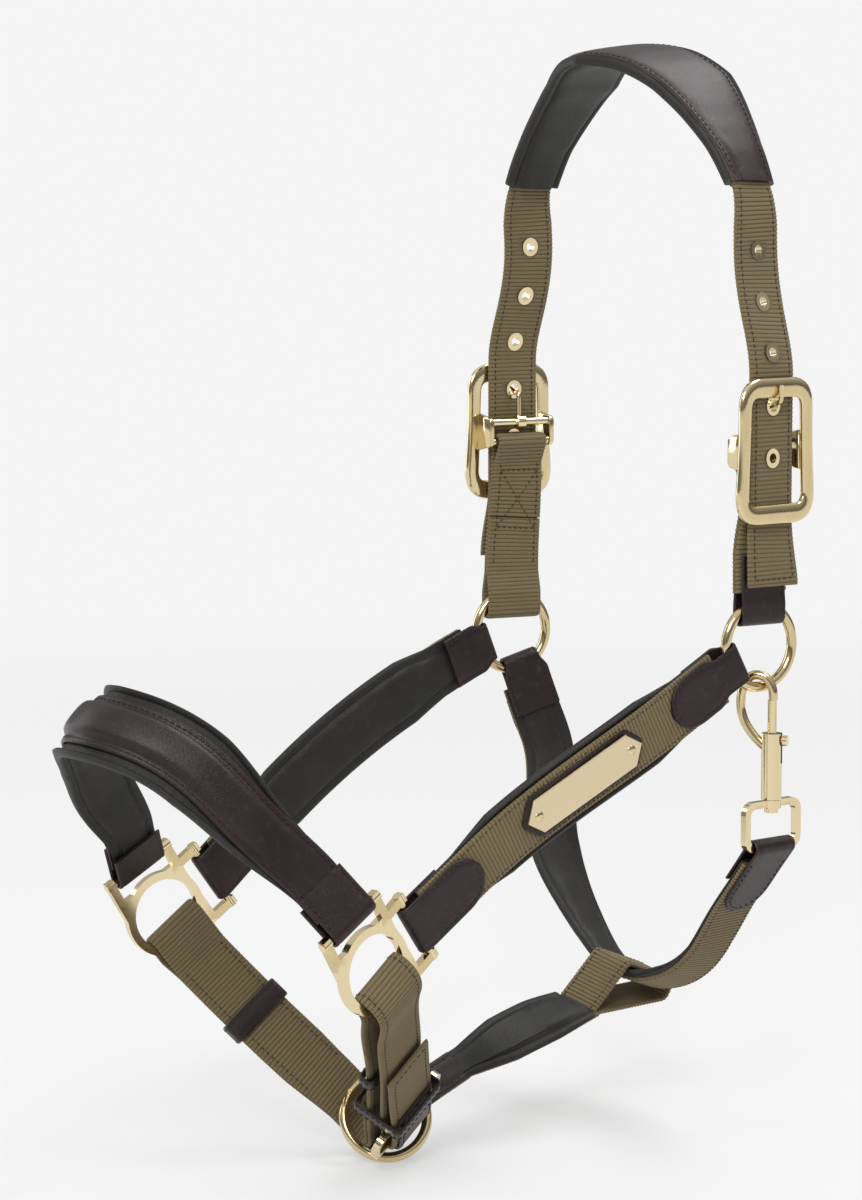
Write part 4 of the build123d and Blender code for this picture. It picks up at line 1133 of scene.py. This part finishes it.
def jaw_strap():
    """Lined strap from the lead ring back to the throat strap."""
    plane, inward = turned_over(*ring_fold(LEAD_RING, LEAD_NORMAL, vec(0.16, 0.858, 0.482), (0, -94.5, -482.8),
                                           JAW_RING_WIDTH), (0, 0, 1))
    run = Run(fold_line(plane, WIRE_RADIUS + CLEAR + LEATHER / 2, CHANNEL + LEATHER / 2, inward, front=26, back=32))
    strap("jaw_chape_leather", "jaw_chape", "leather", run, leather(JAW_RING_WIDTH))
    seams = row(2.5, 14, 5.8, LEATHER / 2) + row(run.length - 20, run.length - 2.5, 5.8, LEATHER / 2)
    thread(run, seams, "jaw_chape", "leather")
    begin = plane.origin + plane.x * (FOLD_NECK - 2)
    held = plane.origin + plane.x * 33
    free = spline([held, (0.2, -60, -473.5), JAW_END])
    facing = [plane.y, (0.45, -0.23, 0.82), (0.1, -0.2, 0.97)]
    run = Run(chain(straight(begin, held, plane.y), line(free, facing)))
    lining_end = run.length - 15
    flare = (0, 24, 50, 76)
    width = stops(flare, (JAW_RING_WIDTH, JAW_RING_WIDTH, 25, 27))
    lining_width = stops(flare, (JAW_RING_WIDTH, JAW_RING_WIDTH, 27, 31))
    low = stops((0, 24, 40, lining_end - 16, lining_end), (-2.2, -2.2, -4.2, -4.2, -3.2))
    strap("jaw_webbing_ribbed", "jaw_webbing", "webbing", run, shifted(webbing(width, LINED_WEB), -1.2),
          0.0, run.length - 11)
    strap("jaw_lining_padded", "jaw_lining", "lining", run,
          shifted(padding(lining_width, low, width, seed=2.1), 0, over=-1), 0.0, lining_end, fill=0.6)
    thread(run, row(28, run.length - 13, lambda s: width(s) / 2 - 2, -LINED_FACE), "jaw_webbing", "webbing")
    seams = row(30, lining_end - 3, lambda s: lining_width(s) / 2 - PAD_SEAM, lambda s: -channel_level(low(s)))
    thread(run, seams, "jaw_lining", "lining")


def throat_strap():
    """Lined strap from the snap's eye, under the throat, to the off cheek ring."""
    off_across, off_outward = turned(SIDES["off"][0])
    centre = flip(ring_at("off"))
    near_end = fold_plane(vec(*EYE_BAR) + (0, 0, EYE_WIRE), vec(0, -1, 0), (78, 20, -400))
    radial = flip(off_across) * 0.3 + vec(0, 0, -1)
    off_end, inward = turned_over(*ring_fold(centre, flip(off_outward), radial, (-84, 20, -340), RING_LOOP),
                                  (-1, 0, 0))
    chape("throat_snap_chape", near_end, CHAPE_WIDTH, EYE_WIRE + 1)
    chape("throat_off_chape", off_end, CHAPE_WIDTH, WIRE_RADIUS + CLEAR, inward, loop_width=RING_LOOP)
    ends = [plane.origin + plane.x * reach
            for plane, reaches in ((near_end, (9, 25, 42)), (off_end, (42, 25, 9))) for reach in reaches]
    via = [vec(40, 17, -445), vec(0, 14, -455), vec(-38, 15, -430), vec(-65, 18, -390)]
    path = spline([*ends[:3], *via, *ends[3:]], near_end.x, -off_end.x)
    ways = (0.62, -0.2, -0.76), (0.3, -0.32, -0.88), (-0.05, -0.36, -0.93), (-0.6, -0.25, -0.76), (-0.93, 0, -0.37)
    facings = [near_end.y] * 3 + [unit(way) for way in ways] + [off_end.y] * 3
    run = Run(line(path, facings))
    lined_strap("throat", run, (27, 27, 28, 33, 34, 34, 34, 33, 28, 27, 27),
                (-2.2, -2.2, -2.2, -3.8, -4.2, -4.2, -4.2, -3.8, -2.2, -2.2, -2.2), 1.7)
    jaw_loop(run)


def jaw_loop(run):
    """Webbing loop of the jaw strap, round the throat strap and pinched towards the jaw."""
    low = run.s[np.argmin(np.abs(run.points[:, 0]))]
    origin = run.read(run.points, low)
    across = run.read(run.across, low)
    normal = run.read(run.normal, low)
    front = across if across[1] < 0 else -across
    plane = Plane(origin, front, np.cross(front, normal))
    side = 1 if plane.y.dot(normal) > 0 else -1
    pinch = JAW_FORK - origin
    pinch = pinch.dot(plane.x), pinch.dot(plane.y)
    corners = [pinch, (18.5, 4.2 * side), (-19.6, 4.2 * side), (-19.6, -6.0 * side), (17, -6.2 * side)]
    band = closed_run(plane, convex_outline(corners), 3.0, 300)
    strap("jaw_loop_webbing", "jaw_loop", "webbing", band, webbing(25, THIN_WEB))
    thread(band, row(1, band.length - 1, 9.8, THIN_FACE, 1.0), "jaw_loop", "webbing")


# ------------------------------------------------------------------ buckles and rivets
def pillow(outline, plane, thick, edge):
    """A flat shape in a plane, with rounded edges, thick either side of it together."""
    middle = outline.mean(axis=0)
    reach = np.abs(outline - middle).max()
    loops = []
    for inset, level in ((edge, -thick / 2), (edge * 0.3, -thick / 2 + edge * 0.3), (0, -thick / 2 + edge),
                         (0, thick / 2 - edge), (edge * 0.3, thick / 2 - edge * 0.3), (edge, thick / 2)):
        ring = middle + (outline - middle) * (1 - inset / reach)
        loops.append(plane.at(ring) + plane.z * level)
    return loops_mesh(loops)


def buckle(side, off_side):
    """Cast buckle: a wide crowned frame with waisted sides, two lugs and two bars behind it."""
    across, outward = turned(STRAP_TURN)
    centre = vec(*STRAP_PLACE, BUCKLE_LEVEL)
    face = Plane(centre + outward * 1.8, across, outward)
    top_half, low_half, tall, waist = 25.6, 28.5, 35.0, 1.6
    middle_half = (top_half + low_half) / 2 - waist
    outer = rounded([(low_half, -tall), (middle_half, 0), (top_half, tall), (-top_half, tall), (-middle_half, 0),
                     (-low_half, -tall)], (17, 16, 15, 15, 16, 17), 9)
    window = rounded([(19.3, -25.3), (18.4, 0), (17.7, 25.3), (-17.7, 25.3), (-18.4, 0), (-19.3, -25.3)],
                     (5, 6, 5, 5, 6, 5), 9)
    profile = ((0, 0.5), (0.04, 0.8), (0.13, 1.0), (0.35, 1.1), (0.6, 1.1), (0.86, 0.98), (0.96, 0.8), (1, 0.5),
               (0.95, 0.12), (0.85, 0), (0.15, 0), (0.05, 0.12))
    rail = 3.1
    loops = [face.at(outer * (1 - t) + window * t) + outward * rail * level for t, level in profile]
    shapes = [loops_mesh(loops, around=True)]
    ends = [circle(2.8, 24) + (-BAR_DEPTH, level) for level in (5, -5)]
    lug = convex_outline(np.vstack([*ends, [(2.2, 9.5), (2.2, -9.5)]]))
    lug_place = 19.1
    for way in (-1, 1):
        plane = Plane(centre + across * lug_place * way, outward, np.cross(outward, (0, 0, 1)))
        shapes.append(pillow(lug, plane, 2.7, 0.7))
    for z in (5, -5):
        plane = Plane(centre - outward * BAR_DEPTH + (0, 0, z), outward, across)
        shapes.append(loops_mesh([plane.at(circle(BAR_RADIUS, 24)) + across * reach for reach in (-19, 19)]))
    points, faces = gather(shapes)
    if off_side:
        points = flip(points)
    settle(mesh_object(f"{side}_buckle_cast", points, faces, sharp=60), f"{side}_buckle", "brass")


def rivets():
    """Low domed heads on the nameplate's two rivets."""
    places = node_points("nameplate_rivets")
    normal = next(np.array(mount["axis"], float) for mount in frame["record"]["mounts"]
                  if mount["name"] == "nameplate_face")
    level = (node_points("nameplate") @ normal).max()
    reach = places - places.mean(axis=0)
    along = unit(reach[np.argmax(np.linalg.norm(reach, axis=1))])
    along = unit(along - normal * along.dot(normal))
    shapes = []
    for way in (-1, 1):
        group = places[(reach @ along) * way > 0]
        spot = (group.max(axis=0) + group.min(axis=0)) / 2
        plane = Plane(spot + normal * (level - spot.dot(normal)), along, normal)
        dome = ((1, -0.9), (1, 0.05), (0.93, 0.25), (0.75, 0.5), (0.45, 0.68), (0.15, 0.74))
        shapes.append(loops_mesh([plane.at(circle(RIVET_RADIUS, 28) * share) + normal * height
                                  for share, height in dome]))
    settle(mesh_object("nameplate_rivet_heads", *gather(shapes), sharp=60), "nameplate_rivets", "small_brass")


# ------------------------------------------------------------------ fittings, stage and camera
def fittings():
    """Every CAD node still shown is a metal fitting."""
    for name, node in frame["nodes"].items():
        if node.hide_render:
            continue
        node.data.materials.clear()
        node.data.materials.append(GOLD_PLATE if name == "nameplate" else GOLD)
        node.data.shade_smooth()
        node.data.set_sharp_from_angle(angle=radians(35))


BACKDROP = 0.91
ROOM_LIGHT = 0.07, 0.80       # at eye level and overhead


def stage():
    """Pale floor and backdrop, and the room's light."""
    floor_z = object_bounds()[0].z - 0.0005
    mesh = bpy.data.meshes.new("floor")
    far = 30.0
    mesh.from_pydata([(-far, -far, floor_z), (far, -far, floor_z), (far, far, floor_z), (-far, far, floor_z)], [],
                     [(0, 1, 2, 3)])
    floor = bpy.data.objects.new("floor", mesh)
    bpy.context.scene.collection.objects.link(floor)
    n = material("pale_floor")
    distance = n.add("VectorMath", n.place(), operation="LENGTH").outputs["Value"]
    far_share = n.ramp(distance, 0.5, 2.2)
    n.set(Base_Color=n.mix(far_share, (0.40, 0.40, 0.40), (0.0, 0.0, 0.0)), Roughness=0.9, Specular_IOR_Level=0.0)
    n.set(Emission_Color=n.mix(far_share, (0.46, 0.46, 0.46), (BACKDROP,) * 3), Emission_Strength=1.0)
    mesh.materials.append(n.owner)
    floor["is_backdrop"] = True
    n = Nodes(bpy.data.worlds.new("studio"), "Background")
    bpy.context.scene.world = n.owner
    # what shows behind the object is pale, and the room's own light is softer and comes from above
    way = n.add("SeparateXYZ", n.add("TexCoord").outputs["Generated"])
    room = n.add("MapRange", way.outputs["Z"], -0.05, 0.9, *ROOM_LIGHT).outputs[0]
    seen = n.add("LightPath").outputs["Is Camera Ray"]
    n.set(Color=(1, 1, 1), Strength=n.add("MapRange", seen, 0.0, 1.0, room, BACKDROP).outputs[0])
    bpy.context.scene.view_settings.view_transform = "Standard"


def put(name, data, location, way):
    """A light or the camera at a place, looking along way."""
    made = bpy.data.objects.new(name, data)
    made.location = location
    made.rotation_mode = "QUATERNION"
    made.rotation_quaternion = way.to_track_quat("-Z", "Y")
    bpy.context.scene.collection.objects.link(made)
    return made


def area_light(name, location, target, size, energy):
    light = bpy.data.lights.new(name, "AREA")
    light.shape = "RECTANGLE"
    light.size, light.size_y = size
    light.energy = energy
    put(name, light, location, Vector(target) - Vector(location))


def camera():
    """Camera at the viewing angle, level, with no shift and no depth of field."""
    azimuth, elevation, distance = radians(51), radians(6.5), 1.65
    back = Vector((sin(azimuth) * cos(elevation), -cos(azimuth) * cos(elevation), sin(elevation)))
    data = bpy.data.cameras.new("camera")
    data.lens = 104
    data.sensor_fit = "AUTO"
    data.sensor_width = 36
    bpy.context.scene.camera = put("camera", data, Vector((0, -0.115, -0.255)) + back * distance, -back)


# each side's cheek ring turn, where its cheekpiece leaves the ring, and whether it is the off side
SIDES = {"near": (-6.0, 0.54, False), "off": (14.0, 0.38, True)}
poll_pad()
for side_name, (ring_turn, cheek_drop, is_off) in SIDES.items():
    billet(side_name, ring_turn, is_off)
    tab(side_name, ring_turn, is_off)
    buckle(side_name, is_off)
    cheekpiece(side_name, ring_turn, cheek_drop, is_off)
nameplate_backing()
rivets()
noseband()
off_chin()
near_chin()
jaw_strap()
throat_strap()
fittings()
stage()
area_light("key", (1.1, -1.5, 1.1), (0, -0.1, -0.25), (0.9, 0.9), 24)
area_light("fill", (-1.7, -1.0, 0.3), (0, -0.1, -0.25), (0.8, 1.4), 9)
area_light("top", (0.2, 0.8, 1.3), (0, -0.1, -0.2), (1.2, 0.6), 14)
camera()
